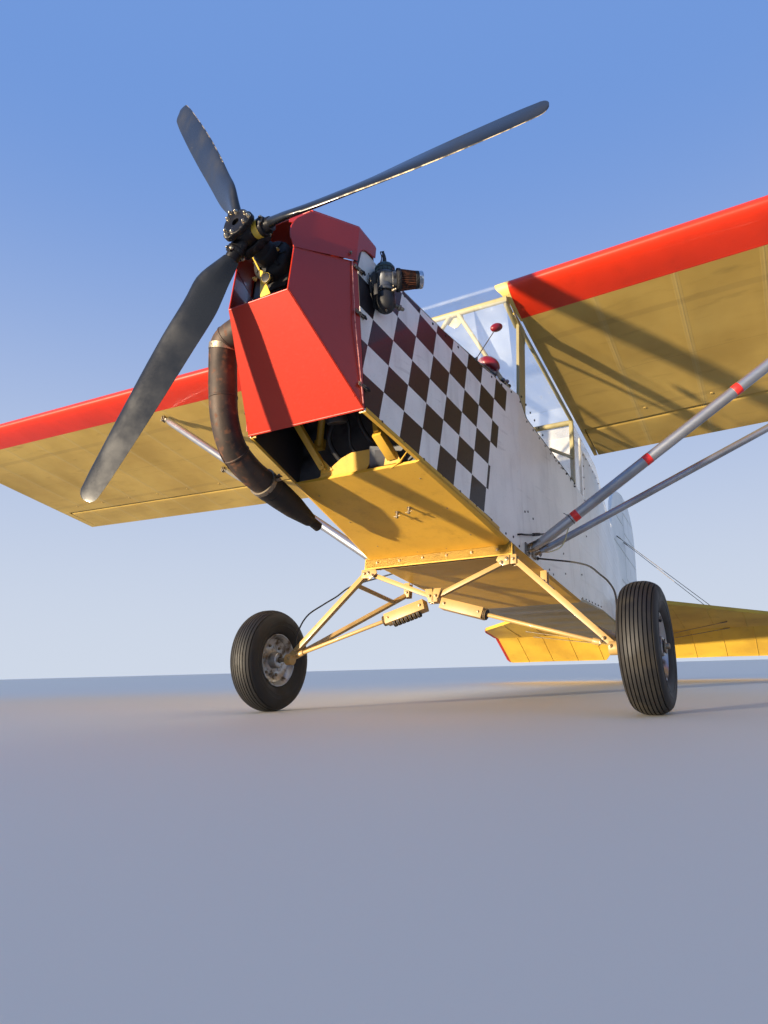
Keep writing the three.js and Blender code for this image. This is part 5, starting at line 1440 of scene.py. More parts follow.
rear_share = (aileron_axis_y - 33 - 6 - wing_front) / chord_length
upper_shares = [0.1213, 0.15, 0.19, 0.24, 0.3, 0.37, 0.45, 0.53, 0.61, 0.69, 0.75, rear_share]
lower_shares = [rear_share, 0.72, 0.62, 0.52, 0.42, 0.33, 0.26, 0.2, 0.155, 0.1213]
per_bay = 6
for name, s in both_sides:
    wing = Shape()
    rings = []
    for k in range(bays * per_bay + 1):
        x = s * (root_x + rib_pitch * k / per_bay)
        rings.append(
            [on_wing(x, u, True, -sag(x, u)) for u in upper_shares] + [on_wing(x, u, False, -sag(x, u))
            for u in lower_shares])
    wing.skin(rings)
    trail = [rear_share - 0.004, 0.83, 0.87, 0.91, 0.95, 0.985, 1.0]
    for x0, x1 in ((root_x, 330), (3906, tip_x)):
        rings = []
        for k in range(5):
            x = s * (x0 + (x1 - x0) * k / 4)
            rings.append(
                [on_wing(x, u, True) for u in trail] + [on_wing(x, u, False) for u in reversed(trail)])
        wing.skin(rings)
    # Drain grommets on the underside
    for k in range(1, 12):
        place = on_wing(s * (root_x + rib_pitch * (k + 0.12)), 0.74, False, -1.5)
        wing.turned(place, (0, 0, -1), [(0, 9), (2, 8), (2.4, 4), (1, 3)], 14)
    wing.build(f"wing_cover_{name}", "airframe", "wing_fabric", [fabric], [f"wing_{name}"], angle=28)

    # Aileron: the same covering round a half-round nose, hinged on its axis
    aileron = Shape()
    inner_end, span, nose_radius = 336, 3564, 31
    axis_share = (aileron_axis_y - wing_front) / chord_length
    tail = [0.86, 0.9, 0.95, 1.0]
    rings = []
    for k in range(49):
        x = s * (inner_end + span * k / 48)
        top = on_wing(x, axis_share, True)
        wing_z = wing_low(x, aileron_axis_y)
        centre_z = wing_z + (top.z - wing_z) / 2
        phase = (span * k / 48 % (span / 12)) / (span / 12)
        draw = 2.5 * 4 * phase * (1 - phase)
        ring = [
            Vector((x, aileron_axis_y + nose_radius * cos(a), centre_z + nose_radius * sin(a)))
            for a in [pi / 2 + pi * i / 12 for i in range(13)]]
        ring += [on_wing(x, u, False, -draw if u < 0.99 else 0) for u in tail]
        ring += [on_wing(x, u, True, -draw if 0.87 < u < 0.99 else 0) for u in reversed(tail)]
        rings.append(ring)
    aileron.skin(rings)
    aileron.build(
        f"aileron_cover_{name}", f"aileron_{name}", "wing_fabric", [fabric], [f"aileron_{name}"], angle=40)

# Lift struts: drawn alloy tubes from the lower longeron to the spars. Each has a tapered foot in
# a forked fitting and an adjustable end at the wing, and the left front strut has red bands.
alloy = Finish("strut_alloy", tint(168, 170, 174), 0.3, 0.85)
drawn = alloy.noise(14, 5, (0.06, 1, 1))
weathered = alloy.noise(220, 5).grade(0.42, 0.72)
alloy.set("Base Color", alloy.mix(weathered * 0.6, tint(172, 174, 178), tint(120, 116, 112)))
alloy.set("Roughness", 0.26 + drawn * 0.14 + weathered * 0.16)
alloy.relief(drawn, 0.04)
red_band = paint("red_band", tint(214, 40, 34), roughness=0.35, coat=0.2, dirt=0.4, orange_peel=0.05)
strut_runs = {"front": (1862, 1354, 1372, -462, 20), "rear": (1958, 1980, 1450, -450, 14)}
for name, s in both_sides:
    for kind, (top_x, y, root_y, foot_z, radius) in strut_runs.items():
        top_z = wing_low(top_x, y)
        foot = Vector((s * 332, root_y, foot_z))
        head = Vector((s * (top_x - 22), y, top_z - 28))
        heading = (head - foot).normalized()
        length = (head - foot).length
        strut = Shape()
        swell = [
            (0, 0.62), (18, 0.66), (46, 0.92), (80, 1.0), (length - 70, 1.0), (length - 34, 0.9),
            (length - 4, 0.62)]
        strut.tube([foot + heading * d for d, _ in swell], [radius * k for _, k in swell], 28)
        strut.tube([head - heading * 20, head + heading * 26], 7.5, 14)
        strut.mark = 1
        strut.turned(head - heading * 2, heading, [(0, 12), (13, 12), (14, 10)], 6)
        strut.block((s * top_x - 9, y - 15, top_z - 34), (s * top_x - 5, y + 15, top_z - 1.2))
        strut.block((s * top_x + 5, y - 15, top_z - 34), (s * top_x + 9, y + 15, top_z - 1.2))
        strut.bolt((s * (top_x + 9 * s), y, top_z - 20), (s, 0, 0), 5, stub=2)
        strut.bolt((s * (top_x - 9 * s), y, top_z - 20), (-s, 0, 0), 5, stub=4)
        # Forked foot: two cheek plates, the clevis bolt and the plate on the longeron
        plate_x = 305.4
        strut.block(
            (s * plate_x, root_y - 28, foot_z - 26) if s > 0 else (-plate_x - 5, root_y - 28, foot_z - 26),
            (s * plate_x + 5, root_y + 18, foot_z + 18) if s > 0 else (-plate_x, root_y + 18, foot_z + 18))
        for lift in (-1, 1):
            cheek = Vector((0, 0, lift * radius * 0.62)) + Vector((0, 0, -2))
            strut.slab([
                Vector((s * 309, root_y - 13, foot_z)) + cheek, Vector((s * 309, root_y + 13, foot_z))
                + cheek, foot + heading * 44 + Vector((0, 11, 0)) + cheek, foot + heading * 44 + Vector((0,
                -11, 0)) + cheek], (0, 0, 3.4))
        strut.bolt(foot + Vector((0, 0, radius * 0.62 + 2)), (0, 0, 1), 5.4, stub=4)
        strut.bolt(foot + Vector((0, 0, -radius * 0.62 - 3)), (0, 0, -1), 5.4, stub=4)
        strut.bolt(foot + heading * 34 + Vector((0, -radius * 0.7, 2)), (0, -1, 0), 4.6, stub=2)
        for dy, dz in ((-20, -18), (11, -18), (-20, 11), (11, 11)):
            strut.bolt((s * (plate_x + 5), root_y + dy, foot_z + dz), (s, 0, 0), 4)
        finishes = [alloy, plated, red_band, black_plastic]
        if kind == "front" and s > 0:
            strut.mark = 2
            for d in (194, 518, 898):
                strut.turned(
                    foot + heading * d, heading, [(-13, 20.1), (-12, 20.6), (12, 20.6), (13, 20.1)], 28)
            # Cable tie beside the lowest band
            strut.mark = 3
            strut.turned(
                foot + heading * 174, heading, [(-2, 20.2), (-1.6, 21.6), (1.6, 21.6), (2, 20.2)], 28)
            strut.tube([
                foot + heading * 174 + Vector((-8, -20, 8)), foot + heading * 168 + Vector((-16, -26, 20))],
                1.8, 6)
        strut.build(
            f"{kind}_lift_strut_{name}", "airframe", "strut_alloy", finishes, [f"{kind}_strut_{name}"],
            bevel=0.6, angle=30)

# Drain hose: thin clear plastic, held in a bow between the left front strut and the side
# panel, into which it goes.
hose = Finish("clear_hose", tint(206, 200, 148), 0.15, alpha=0.7)
hose.set("Alpha", 0.4 + hose.noise(30) * 0.3)
hose.set("Roughness", 0.12 + hose.noise(12) * 0.15)
drain = Shape()
drain.tube(smooth_line([
    (480, 1372, -366), (464, 1404, -366), (448, 1416, -392), (436, 1420, -426), (416, 1426, -450),
    (372, 1440, -458), (330, 1480, -440), (306, 1500, -430)], 8), 2.6, 10)
drain.build("drain_hose", "airframe", "clear_plastic", [hose])

# Rear fuselage: white doped fabric over stringers and frames, slack enough to wrinkle, with
# stains running back along its sides.
cabin_end, stern = 2150.4, 4790
tail_stations = [
    (cabin_end, 305, -458, 503), (2600, 303, -392, 472), (3600, 204, -268, 270), (stern, 26, -118, 44)]
white_fabric = Finish("white_fabric", tint(240, 238, 230), 0.4, coat=0.15)
stringer = sum([
    abs(white_fabric.z - offset + (white_fabric.y - 2150) * slope).grade(13, 3) for offset,
    slope in ((380, 0.12), (200, 0.06), (20, 0.0), (-160, -0.06), (-340, -0.12))], white_fabric.y * 0)
frame_line = abs(((white_fabric.y - 2026) % 560) - 280).grade(268, 279)
wrinkle = white_fabric.noise(150, 4, (1, 1, 0.22))
dirt_run = white_fabric.noise(110, 5, (1, 1, 0.3)).grade(0.58, 0.76)
low_dirt = (-150 - white_fabric.z).grade(0, 300) * white_fabric.noise(90, 5).grade(0.4, 0.7)
cloth_tone = white_fabric.mix(
    white_fabric.noise(500, 3).grade(0.35, 0.7), tint(242, 240, 232), tint(224, 222, 214))
stained_cloth = white_fabric.mix(dirt_run * 0.32 + low_dirt * 0.3, cloth_tone, tint(130, 120, 100))
# The underside is cream cloth, painted dark olive: partly its own colour, partly painted shade.
under_line = wrinkle.maths(
    "MAXIMUM", -458 + (white_fabric.y - 2150) * 0.1467, -392 + (white_fabric.y - 2600) * 0.124)
white_fabric.set("Base Color", white_fabric.mix(
    white_fabric.z < under_line + 5, stained_cloth, tint(120, 104, 44)))
white_fabric.set("Roughness", 0.34 + wrinkle * 0.2)
# Ahead of the former and along the top edge the covering is clear plastic
top_edge = wrinkle.maths(
    "MINIMUM", 503 - (white_fabric.y - 2150) * 0.0689, 472 - (white_fabric.y - 2600) * 0.202)
front_bay = (white_fabric.y < 2306) * (white_fabric.z > 130)
top_strip = (white_fabric.z > top_edge - 84) * (white_fabric.y < 3050)
see_through = wrinkle.maths("MAXIMUM", front_bay * 0.6, top_strip * 0.78)
white_fabric.set("Alpha", 1.0 - see_through * white_fabric.noise(120, 4).grade(0.2, 0.8, 1.0, 0.8))
white_fabric.relief(
    stringer * 0.5 + frame_line * 0.7 + wrinkle * 1.6 + white_fabric.noise(1.4, 2) * 0.04, 2.0)
rear = Shape()
rings = []
bay_length = 263.96
for k in range(61):
    y = cabin_end + (stern - cabin_end) * k / 60
    for first, second in zip(tail_stations, tail_stations[1:]):
        if first[0] <= y <= second[0]:
            break
    share = (y - first[0]) / (second[0] - first[0])
    half, low, high = [first[c] + (second[c] - first[c]) * share for c in (1, 2, 3)]
    deck = min(half * 0.35, 60)
    phase = (y - cabin_end) % bay_length / bay_length
    slack = 4.5 * (4 * phase * (1 - phase)) ** 0.8 * min(half / 150, 1)
    corners = [
        (half, low), (half, high - deck * 0.4), (half - deck, high), (-half + deck, high),
        (-half, high - deck * 0.4), (-half, low)]
    ring = []
    steps = (6, 2, 4, 2, 6, 4)
    for (x0, z0), (x1, z1), count in zip(corners, corners[1:] + corners[:1], steps):
        for i in range(count):
            t = i / count
            # Stringers hold the cloth out at every corner and midway
            inward = slack * (abs(sin(pi * t * (2 if count == 6 else 1))) ** 0.8)
            x, z = x0 + (x1 - x0) * t, z0 + (z1 - z0) * t
            normal = Vector((z1 - z0, 0, x0 - x1)).normalized()
            ring.append(Vector((x, y, z)) - normal * inward)
    rings.append(ring)
rear.skin(rings)
rear.build("fuselage_cover", "airframe", "white_fabric", [white_fabric], ["rear_fuselage"], angle=24)
clear.dress("centre_fairing")
seam_screws = Shape()
for s in (1, -1):
    places = [(2306, z) for z in range(-80, 440, 66)] + [(2181, -320)]
    places += [(y, 392 - (y - 2300) * 0.07) for y in range(2370, 2700, 72)]
    places += [(y, -440 + (y - 2150) * 0.147) for y in range(2180, 2560, 62)]
    for y, z in places:
        seam_screws.turned(
            (s * (304.4 - max(y - 2600, 0) * 0.099), y, z), (s, 0, 0), [(0, 4.5), (2.2, 4), (2.8, 2.5)], 10)
    # Former behind the cabin, seen through the plastic
    seam_screws.mark = 1
    seam_screws.tube([(s * 292, 2296, -40), (s * 292, 2296, 480)], 7, 12)
    seam_screws.mark = 0
seam_screws.build("fuselage_screws", "airframe", "black_steel", [dark_screw, white])

# Tail surfaces: steel tube outlines and ribs under fabric. The fin and rudder are white, the
# stabiliser and elevator cream with red-edged tips.
tail_axis_y, tail_axis_z = 4751.0, 0.0
rudder_y = 4886.0


def covered_frame(shape, outline, thickness, ribs, to_place, rim=10):
    """A fabric surface over a tube outline: a domed rim, then cloth drawn in between the ribs."""
    middle = (sum(p[0] for p in outline) / len(outline), sum(p[1] for p in outline) / len(outline))
    dense = []
    for (a0, b0), (a1, b1) in zip(outline, outline[1:] + outline[:1]):
        steps = max(int(hypot(a1 - a0, b1 - b0) / 60), 1)
        dense += [(a0 + (a1 - a0) * k / steps, b0 + (b1 - b0) * k / steps) for k in range(steps)]

    def layer(inset, depth):
        ring = []
        for a, b in dense:
            reach = hypot(a - middle[0], b - middle[1])
            keep = 1 - inset / reach
            ring.append(to_place(
                middle[0] + (a - middle[0]) * keep, middle[1] + (b - middle[1]) * keep, depth))
        return ring

    half = thickness / 2
    around = [layer(rim * (1 - sin(pi * k / 8)), -half * cos(pi * k / 8)) for k in range(9)]
    inner_low = [layer(rim + step, -half + 1.6) for step in (110, 14)]
    inner_high = [layer(rim + step, half - 1.6) for step in (14, 110)]
    shape.skin(inner_low + around + inner_high)
    for first, second in ribs:
        for side_depth in (-half + 2.2, half - 2.2):
            shape.tube([to_place(*first, side_depth), to_place(*second, side_depth)], 4.5, 8)


def tapering(y, at_front, at_stern):
    """A size of the last part of the body, which tapers straight from y 3600 to the stern."""
    return at_front + (at_stern - at_front) * (y - 3600) / (stern - 3600)


def fin_foot(y):
    return tapering(y, 270, 44) + 0.4


fin = Shape()
fin_outline = [
    (4330, fin_foot(4330)), (4335, 640), (4362, 800), (4430, 1030), (4490, 1104), (4560, 1160),
    (4700, 1226), (4866, 1262), (4866, 40), (4791, 40), (4791, fin_foot(4790))]
covered_frame(fin, fin_outline, 28, [
    ((4345, 420), (4860, 420)), ((4352, 700), (4860, 700)), ((4440, 960), (4860, 960)), ((4600, 180),
    (4860, 180))], lambda a, b, depth: Vector((depth, a, b)), rim=7)
fin.tube([(0, 4842, -105), (0, 4842, 60)], 14, 20)
fin.build("fin_cover", "airframe", "white_fabric", [white_fabric], ["fin"], angle=30)
rudder = Shape()
rudder_outline = [
    (rudder_y - 12, -88), (rudder_y - 12, 1262), (5010, 1262), (5095, 1248), (5160, 1218), (5222, 1174),
    (5270, 1120), (5308, 1048), (5330, 970), (5342, 880), (5345, 780), (5345, 260), (5325, 170), (5290, 90),
    (5225, 14), (5140, -40), (5074, -68), (5000, -88)]
covered_frame(
    rudder, rudder_outline, 28, [((4884, b), (5330, b)) for b in (260, 480, 700, 900)] + [((4884, 1090),
    (5270, 1090)), ((4884, 60), (5240, 60))], lambda a, b, depth: Vector((depth, a, b)))
rudder.build("rudder_cover", "rudder", "white_fabric", [white_fabric], ["rudder"], angle=30)

tail_cloth = Finish("tail_fabric", tint(198, 162, 52), 0.62)
cloth_cloud = tail_cloth.noise(380, 4)
tip_band = (abs(tail_cloth.x) > 1092)
tip_red = tail_cloth.mix(tail_cloth.noise(60, 4).grade(0.4, 0.7), tint(160, 36, 18), tint(130, 28, 16))
cloth_base = tail_cloth.mix(cloth_cloud.grade(0.35, 0.7), tint(198, 162, 52), tint(172, 136, 42))
cloth_soil = tail_cloth.mix(tail_cloth.noise(70, 5).grade(0.55, 0.78) * 0.3, cloth_base, tint(104, 84, 38))
tail_cloth.set("Base Color", tail_cloth.mix(tip_band, cloth_soil, tip_red))
tail_cloth.set("Roughness", 0.5 + cloth_cloud * 0.16)
tail_cloth.relief(cloth_cloud * 2 + tail_cloth.noise(1.4, 2) * 0.12, 0.8)


def tail_half(y):
    return tapering(y, 204, 26) + 1


droop = radians(24)
elevator = Shape()
for name, s in both_sides:
    stabiliser = Shape()
    outline = [
        (tail_half(3750), 3750), (1050, 4404), (1084, 4430), (1108, 4470), (1120, 4512), (1120, 4730),
        (tail_half(4730), 4730)]
    covered_frame(stabiliser, outline, 26, [
        ((a, 3760 + (a - 140) * 0.72), (a, 4726)) for a in (240, 450, 660, 880)], lambda a, b, depth,
        s=s: Vector((s * a, b, tail_axis_z + depth)), rim=3)
    stabiliser.build(
        f"stabiliser_cover_{name}", "airframe", "wing_fabric", [tail_cloth], [f"stabiliser_{name}"],
        angle=30)

    def hung(a, b, depth, s=s):
        return Vector((
            s * a, tail_axis_y + b * cos(droop) + depth * sin(droop),
            tail_axis_z - b * sin(droop) + depth * cos(droop)))
    half_outline = [(62, -6), (1120, -6), (1120, 330), (1106, 360), (1080, 372), (235, 372), (150, 242)]
    covered_frame(elevator, half_outline, 24, [((a, 4), (a, 366)) for a in (260, 480, 700, 920)], hung, rim=6)
elevator.tube([(-90, tail_axis_y, tail_axis_z), (90, tail_axis_y, tail_axis_z)], 10, 18)
elevator.build("elevator_cover", "elevator", "wing_fabric", [tail_cloth], ["elevator"], angle=30)

# Tail stays: thin steel wires with screwed ends, from the fin to the stabiliser and on to the
# foot of the fuselage.
stays = Shape()
for s in (1, -1):
    for top, foot in (
            ((12 * s, 4560, 760), (760 * s, 4520, 16)), ((12 * s, 4840, 800), (760 * s, 4724, 16)),
            ((14 * s, 4560, -142), (760 * s, 4520, -16)), ((14 * s, 4770, -116), (760 * s, 4724, -16))):
        heading = (Vector(foot) - Vector(top)).normalized()
        stays.tube([top, foot], 2.4, 8)
        for end, way in ((Vector(top), heading), (Vector(foot), -heading)):
            stays.turned(end + way * 22, way, [(-22, 4.5), (20, 4.5), (26, 3.0)], 10)
            stays.bolt(end, (1 if abs(end.z) > 100 else 0, 0, 0 if abs(end.z) > 100 else 1), 4)
stays.build("tail_stays", "airframe", "strut_alloy", [plated])

# Landing gear: cream welded tubes. Each V leg is pinned to the longeron fittings, and a cabane V
# in front carries the inner ends of the rubber shock units.
gear_cream = paint(
    "gear_cream", tint(176, 142, 84), roughness=0.4, coat=0.15, dirt=0.6, soil=tint(92, 68, 38))
gear_rust = gear_cream.noise(40, 6).grade(0.66, 0.74)
gear_cream.set("Base Color", gear_cream.mix(gear_rust * 0.7, gear_cream.tone, tint(128, 66, 30)))
axle_y, axle_z, wheel_x = 1222, -880, 735
for name, s in both_sides:
    hub_front, hub_rear = Vector((s * 636, axle_y, axle_z + 8)), Vector((s * 636, axle_y + 14, axle_z + 8))
    front, rear_foot = Vector((s * 312, 1223, -556)), Vector((s * 306, 1580, -536))
    leg = Shape()
    leg.square(front, hub_front, 20)
    leg.square(rear_foot, hub_rear, 17)
    leg.tube([(s * 350, 1224, -592), (s * 350, 1540, -580)], 9, 16)
    # Fork lugs on the longeron with their pins
    for y, high, low in ((1223, -537, -572), (1580, -488, -552)):
        for dy in (-16, 10):
            leg.block((min(s * 294, s * 320), y + dy, low), (max(s * 294, s * 320), y + dy + 5, high))
    # Folded gusset between the leg and the axle
    leg.slab([
        (s * 560, axle_y + 12, axle_z + 84), (s * 640, axle_y + 12, axle_z + 20), (s * 640, axle_y + 60,
        axle_z + 52)], (s * 2, 0, 3))
    leg.turned((s * 620, axle_y, axle_z), (s, 0, 0), [(0, 19), (2, 22), (30, 22), (32, 20)], 28)
    leg.mark = 1
    leg.turned((s * 622, axle_y, axle_z), (s, 0, 0), [(0, 9), (176, 9), (178, 7.5)], 20)
    leg.turned((s * 778, axle_y, axle_z), (s, 0, 0), [(0, 15), (6, 15), (8, 13)], 6)
    for y, z in ((1223, -554), (1580, -532)):
        leg.bolt((s * 307, y - 16, z), (0, -1, 0), 6)
        leg.bolt((s * 307, y + 15, z), (0, 1, 0), 6, stub=5)
    leg.bolt((s * 628, axle_y - 22, axle_z + 2), (0, -1, 0), 6, stub=3)
    leg.bolt((s * 606, axle_y - 16, axle_z + 30), (0, -1, 0), 5, stub=3)
    leg.tube([(s * 640, axle_y + 30, axle_z + 30), (s * 652, axle_y + 50, axle_z + 44)], 5, 10)
    leg.build(
        f"gear_tubes_{name}", "airframe", "cream_paint", [gear_cream, plated], [f"gear_leg_{name}"],
        bevel=1.6, angle=40)

    # Shock unit: a folded channel box with rubber discs, and a thin rod on to the axle
    apex = Vector((0, 1219, -686))
    rod_foot = Vector((s * 596, axle_y - 2, axle_z + 18))
    along = (rod_foot - apex).normalized()
    reach = (rod_foot - apex).length
    shock = Shape()
    shock.tube([apex + along * 36, apex + along * 205], 30, 4, across=(0, 1, 0), turn=pi / 4, flat=0.92)
    shock.mark = 1
    for d in (203, 209, 215):
        shock.turned(apex + along * d, along, [(-2.6, 17), (-1.6, 20), (1.6, 20), (2.6, 17)], 28)
    below = along.cross(Vector((0, 1, 0))).normalized()
    if below.z > 0:
        below = -below
    if s < 0:
        for k in range(7):
            shock.turned(
                apex + along * (70 + k * 17) + below * 20, along, [(-6.4, 12), (-5, 17), (5, 17),
                (6.4, 12)], 24)
    shock.mark = 2
    shock.tube([apex + along * 216, apex + along * reach], 7.4, 16)
    shock.turned(apex + along * (reach - 26), along, [(0, 11), (22, 11), (24, 9)], 16)
    shock.mark = 3
    shock.bolt(apex + along * 52 + Vector((0, -22, 0)), (0, -1, 0), 5)
    shock.bolt(apex + along * 190 + Vector((0, -22, 0)), (0, -1, 0), 4)
    shock.bolt(rod_foot + Vector((0, -9, 0)), (0, -1, 0), 5.5, stub=3)
    shock.build(
        f"shock_box_{name}", "airframe", "cream_paint", [gear_cream, grip_rubber, gear_cream, plated],
        [f"shock_unit_{name}"], bevel=1.2, angle=40)

cabane = Shape()
for s in (1, -1):
    cabane.square((s * 268, 1223, -560), (s * 6, 1221, -668), 17)
    cabane.slab([
        (s * 296, 1202, -540), (s * 296, 1202, -574), (s * 272, 1202, -578), (s * 246, 1202, -556),
        (s * 254, 1202, -540)], (0, 4, 0))
    cabane.slab(
        [(s * 22, 1203, -676), (s * -8, 1203, -700), (s * 4, 1203, -640), (s * 34, 1203, -640)], (0, 4, 0))
cabane.block((-19, 1204, -690), (19, 1237, -652))
cabane.mark = 1
for s in (1, -1):
    for x, z in ((286, -554), (266, -566)):
        cabane.turned((s * x, 1202, z), (0, -1, 0), [(0, 8), (2, 8), (3, 6.5)], 20)
        cabane.bolt((s * x, 1200, z), (0, -1, 0), 4.4)
    cabane.bolt((s * 12, 1201, -668), (0, -1, 0), 5, stub=2)
cabane.build("cabane_tubes", "airframe", "cream_paint", [gear_cream, plated], ["cabane"], bevel=1.2, angle=40)
cross = Shape()
cross.block((-304, 1205, -534), (304, 1209, -491))
cross.block((-304, 1234, -534), (304, 1238, -491))
cross.block((-304, 1205, -494), (304, 1238, -491))
cross.mark = 1
cross.block((-298, 1209.4, -520), (298, 1233.6, -494))
cross.mark = 2
for x in range(-250, 251, 100):
    cross.bolt((x, 1205, -514), (0, -1, 0), 5)
    cross.rivet((x + 46, 1221, -533.5), (0, 0, -1), 4)
cross.build(
    "cross_member", "airframe", "cream_paint", [gear_cream, grip_rubber, plated], ["gear_crossmember"],
    bevel=0.8)

# Brake cables, in black sheaths: each is clipped at the lower longeron and arches out to its
# wheel.
brake = Shape()
for s in (1, -1):
    brake_line = [
        (306, 1490, -462), (313, 1470, -469), (393, 1460, -488), (462, 1440, -509), (521, 1420, -536),
        (562, 1400, -576), (600, 1360, -620), (632, 1300, -681), (642, 1262, -760), (636, 1250, -850)]
    brake.tube(smooth_line([(s * x, y, z) for x, y, z in brake_line], 8), 3.4, 10)
    brake.block((min(s * 305, s * 312), 1484, -468), (max(s * 305, s * 312), 1496, -456))
brake.build("brake_cables", "airframe", "black_plastic", [black_plastic], bevel=0.6)

# Main wheels: black rubber tyres with ribs running round the tread, on alloy rims that are
# bolted together from two halves.
tyre_rubber = Finish("tyre_rubber", tint(34, 33, 33), 0.72)
tyre_dust = tyre_rubber.noise(60, 5).grade(0.42, 0.75)
tyre_rubber.set("Base Color", tyre_rubber.mix(tyre_dust * 0.3, tint(20, 19, 19), tint(60, 52, 36)))
tyre_rubber.set("Roughness", 0.6 + tyre_dust * 0.2)
tyre_rubber.relief(tyre_rubber.noise(2.2, 3), 0.15)
rim_metal = Finish("wheel_alloy", tint(166, 168, 170), 0.38, 0.85)
rim_dirt = rim_metal.noise(40, 5).grade(0.45, 0.7)
rim_metal.set("Base Color", rim_metal.mix(rim_dirt, tint(170, 172, 174), tint(96, 84, 68)))
rim_metal.set("Roughness", 0.3 + rim_dirt * 0.3)
rim_metal.relief(rim_metal.noise(1.8, 3), 0.08)
for name, s in both_sides:
    axle = Vector((s * wheel_x, axle_y, axle_z))
    depth, half, rim = 99.0, 59.0, 104.0
    wall = [
        (-0.62, 0.0), (-0.74, 0.06), (-0.88, 0.18), (-0.955, 0.32), (-0.99, 0.45), (-1.0, 0.56),
        (-0.975, 0.68), (-0.905, 0.79), (-0.82, 0.85)]
    tread = []
    ribs = 8
    for k in range(ribs):
        a0, a1 = -0.78 + 1.56 * k / ribs, -0.78 + 1.56 * (k + 1) / ribs
        inset = 0.03
        for a, drop in ((a0 + 0.012, 0.05), (a0 + inset, 0.0), (a1 - inset, 0.0), (a1 - 0.012, 0.05)):
            crown = 1 - 0.13 * abs(a) ** 2.4 / 0.78 ** 2.4
            tread.append((a, crown - drop))
    profile = wall + tread + [(-a, d) for a, d in reversed(wall)]
    # Letters are left off the walls: two plain raised rings stand there
    tyre = Shape()
    tyre.turned(axle, (1, 0, 0), [(half * a, rim + depth * min(d, 0.996)) for a, d in profile], 96, loop=True)
    for side in (-1, 1):
        for share, reach in ((0.965, 0.34), (0.995, 0.5)):
            tyre.turned(axle, (1, 0, 0), [
                (side * half * (share - 0.02), rim + depth * (reach - 0.02)),
                (side * half * (share + 0.012), rim + depth * (reach - 0.008)),
                (side * half * (share + 0.012), rim + depth * (reach + 0.008)),
                (side * half * (share - 0.02), rim + depth * (reach + 0.02))], 96, loop=True)
    tyre.build(
        f"tyre_tread_{name}", f"wheel_{name}", "tyre_rubber", [tyre_rubber], [f"tyre_{name}"], angle=40)
    wheel = Shape()
    wheel.turned(axle, (1, 0, 0), [
        (-43, 101), (-43, 104.4), (-36, 105), (-30, 98), (-16, 92), (16, 92), (30, 98), (36, 105),
        (43, 104.4), (43, 101), (38, 98), (33, 93), (20, 86), (12, 70), (11, 44), (14, 34), (44, 30),
        (47, 27), (47, 13), (-47, 13), (-47, 27), (-44, 30), (-14, 34), (-11, 44), (-12, 70), (-20, 86),
        (-33, 93), (-38, 98)], 72, loop=True)
    for k in range(6):
        a = 2 * pi * k / 6
        for side in (-1, 1):
            wheel.mark = 0
            outward = Vector((side * 12, 62 * cos(a), 62 * sin(a)))
            wheel.turned(
                axle + Vector((side * 11, 56 * cos(a + 0.5), 56 * sin(a + 0.5))), (side, 0, 0),
                [(-1, 9), (2, 9), (3, 7)], 16)
            wheel.mark = 1
            wheel.bolt(axle + outward, (side, 0, 0), 5.5, stub=3)
    wheel.mark = 2
    valve = axle + Vector((s * 30, 0, 84))
    wheel.tube([valve, valve + Vector((s * 16, 0, -6))], 4, 10)
    wheel.mark = 1
    wheel.turned(axle + Vector((s * 46, 0, 0)), (s, 0, 0), [(0, 12.8), (4, 22), (8, 22), (9, 20)], 28)
    wheel.build(
        f"wheel_rim_{name}", f"wheel_{name}", "wheel_alloy", [rim_metal, plated, grip_rubber],
        [f"rim_{name}"], angle=35)

# Tailwheel: a small solid rubber tyre in a folded steel fork, which swivels below a spring of
# three steel leaves.
spring_y = [
    (4386, 0), (4430, 1), (4480, 3), (4520, 5), (4570, 10), (4630, 20), (4700, 37), (4760, 53), (4810, 67),
    (4846, 77), (4875, 81), (4900, 82)]


def belly_height(y):
    return tapering(y, -268, -118) - 2


leaf = Shape()
for count, (start, end) in enumerate(((0, 12), (0, 9), (0, 6))):
    rings = []
    for y, drop in spring_y[start:end]:
        z = belly_height(y) - drop - count * 4.5 * (0.66 if count else 1)
        wide = 22 if y < 4860 else 22 - (y - 4860) * 0.1
        rings.append([(-wide, y, z), (wide, y, z), (wide, y, z - 4.4), (-wide, y, z - 4.4)])
    leaf.skin(rings)
leaf.mark = 1
for y in (4400, 4500):
    leaf.bolt((0, y, belly_height(y) - 16), (0, 0, -1), 6, stub=3)
    leaf.block((-28, y - 8, belly_height(y) - 17), (28, y + 8, belly_height(y) - 13))
leaf.build("tail_leaf", "airframe", "black_steel", [black_steel, plated], ["tail_spring"], bevel=0.8)


def ground(x, y, z):
    """A place by the ground: millimetres from the middle, z up from the floor."""
    return Vector((x, y, z)) / 1000


swivel = Vector(joints["tailwheel_steer"]["pos_m"]) * 1000
roll = Vector(joints["tailwheel_spin"]["pos_m"]) * 1000
fork = Shape()
for s in (1, -1):
    cheek = [
        (s * 31, swivel.y - 24, 158.5), (s * 31, roll.y + 22, 158.5), (s * 31, roll.y + 18, 100),
        (s * 31, roll.y + 14, roll.z - 8), (s * 31, roll.y + 8, roll.z - 13), (s * 31, roll.y - 8,
        roll.z - 13), (s * 31, roll.y - 14, roll.z - 8), (s * 31, swivel.y - 10, 120)]
    fork.slab(cheek, (s * 5.6, 0, 0))
fork.block((-36.6, swivel.y - 24, 152), (36.6, roll.y + 22, 158.8))
fork.turned((0, swivel.y, 158), (0, 0, 1), [(0, 20), (4, 20), (6, 15), (7, 7), (46, 7)], 24)
fork.mark = 1
fork.turned((-37, roll.y, roll.z), (1, 0, 0), [(0, 7), (74, 7)], 20)
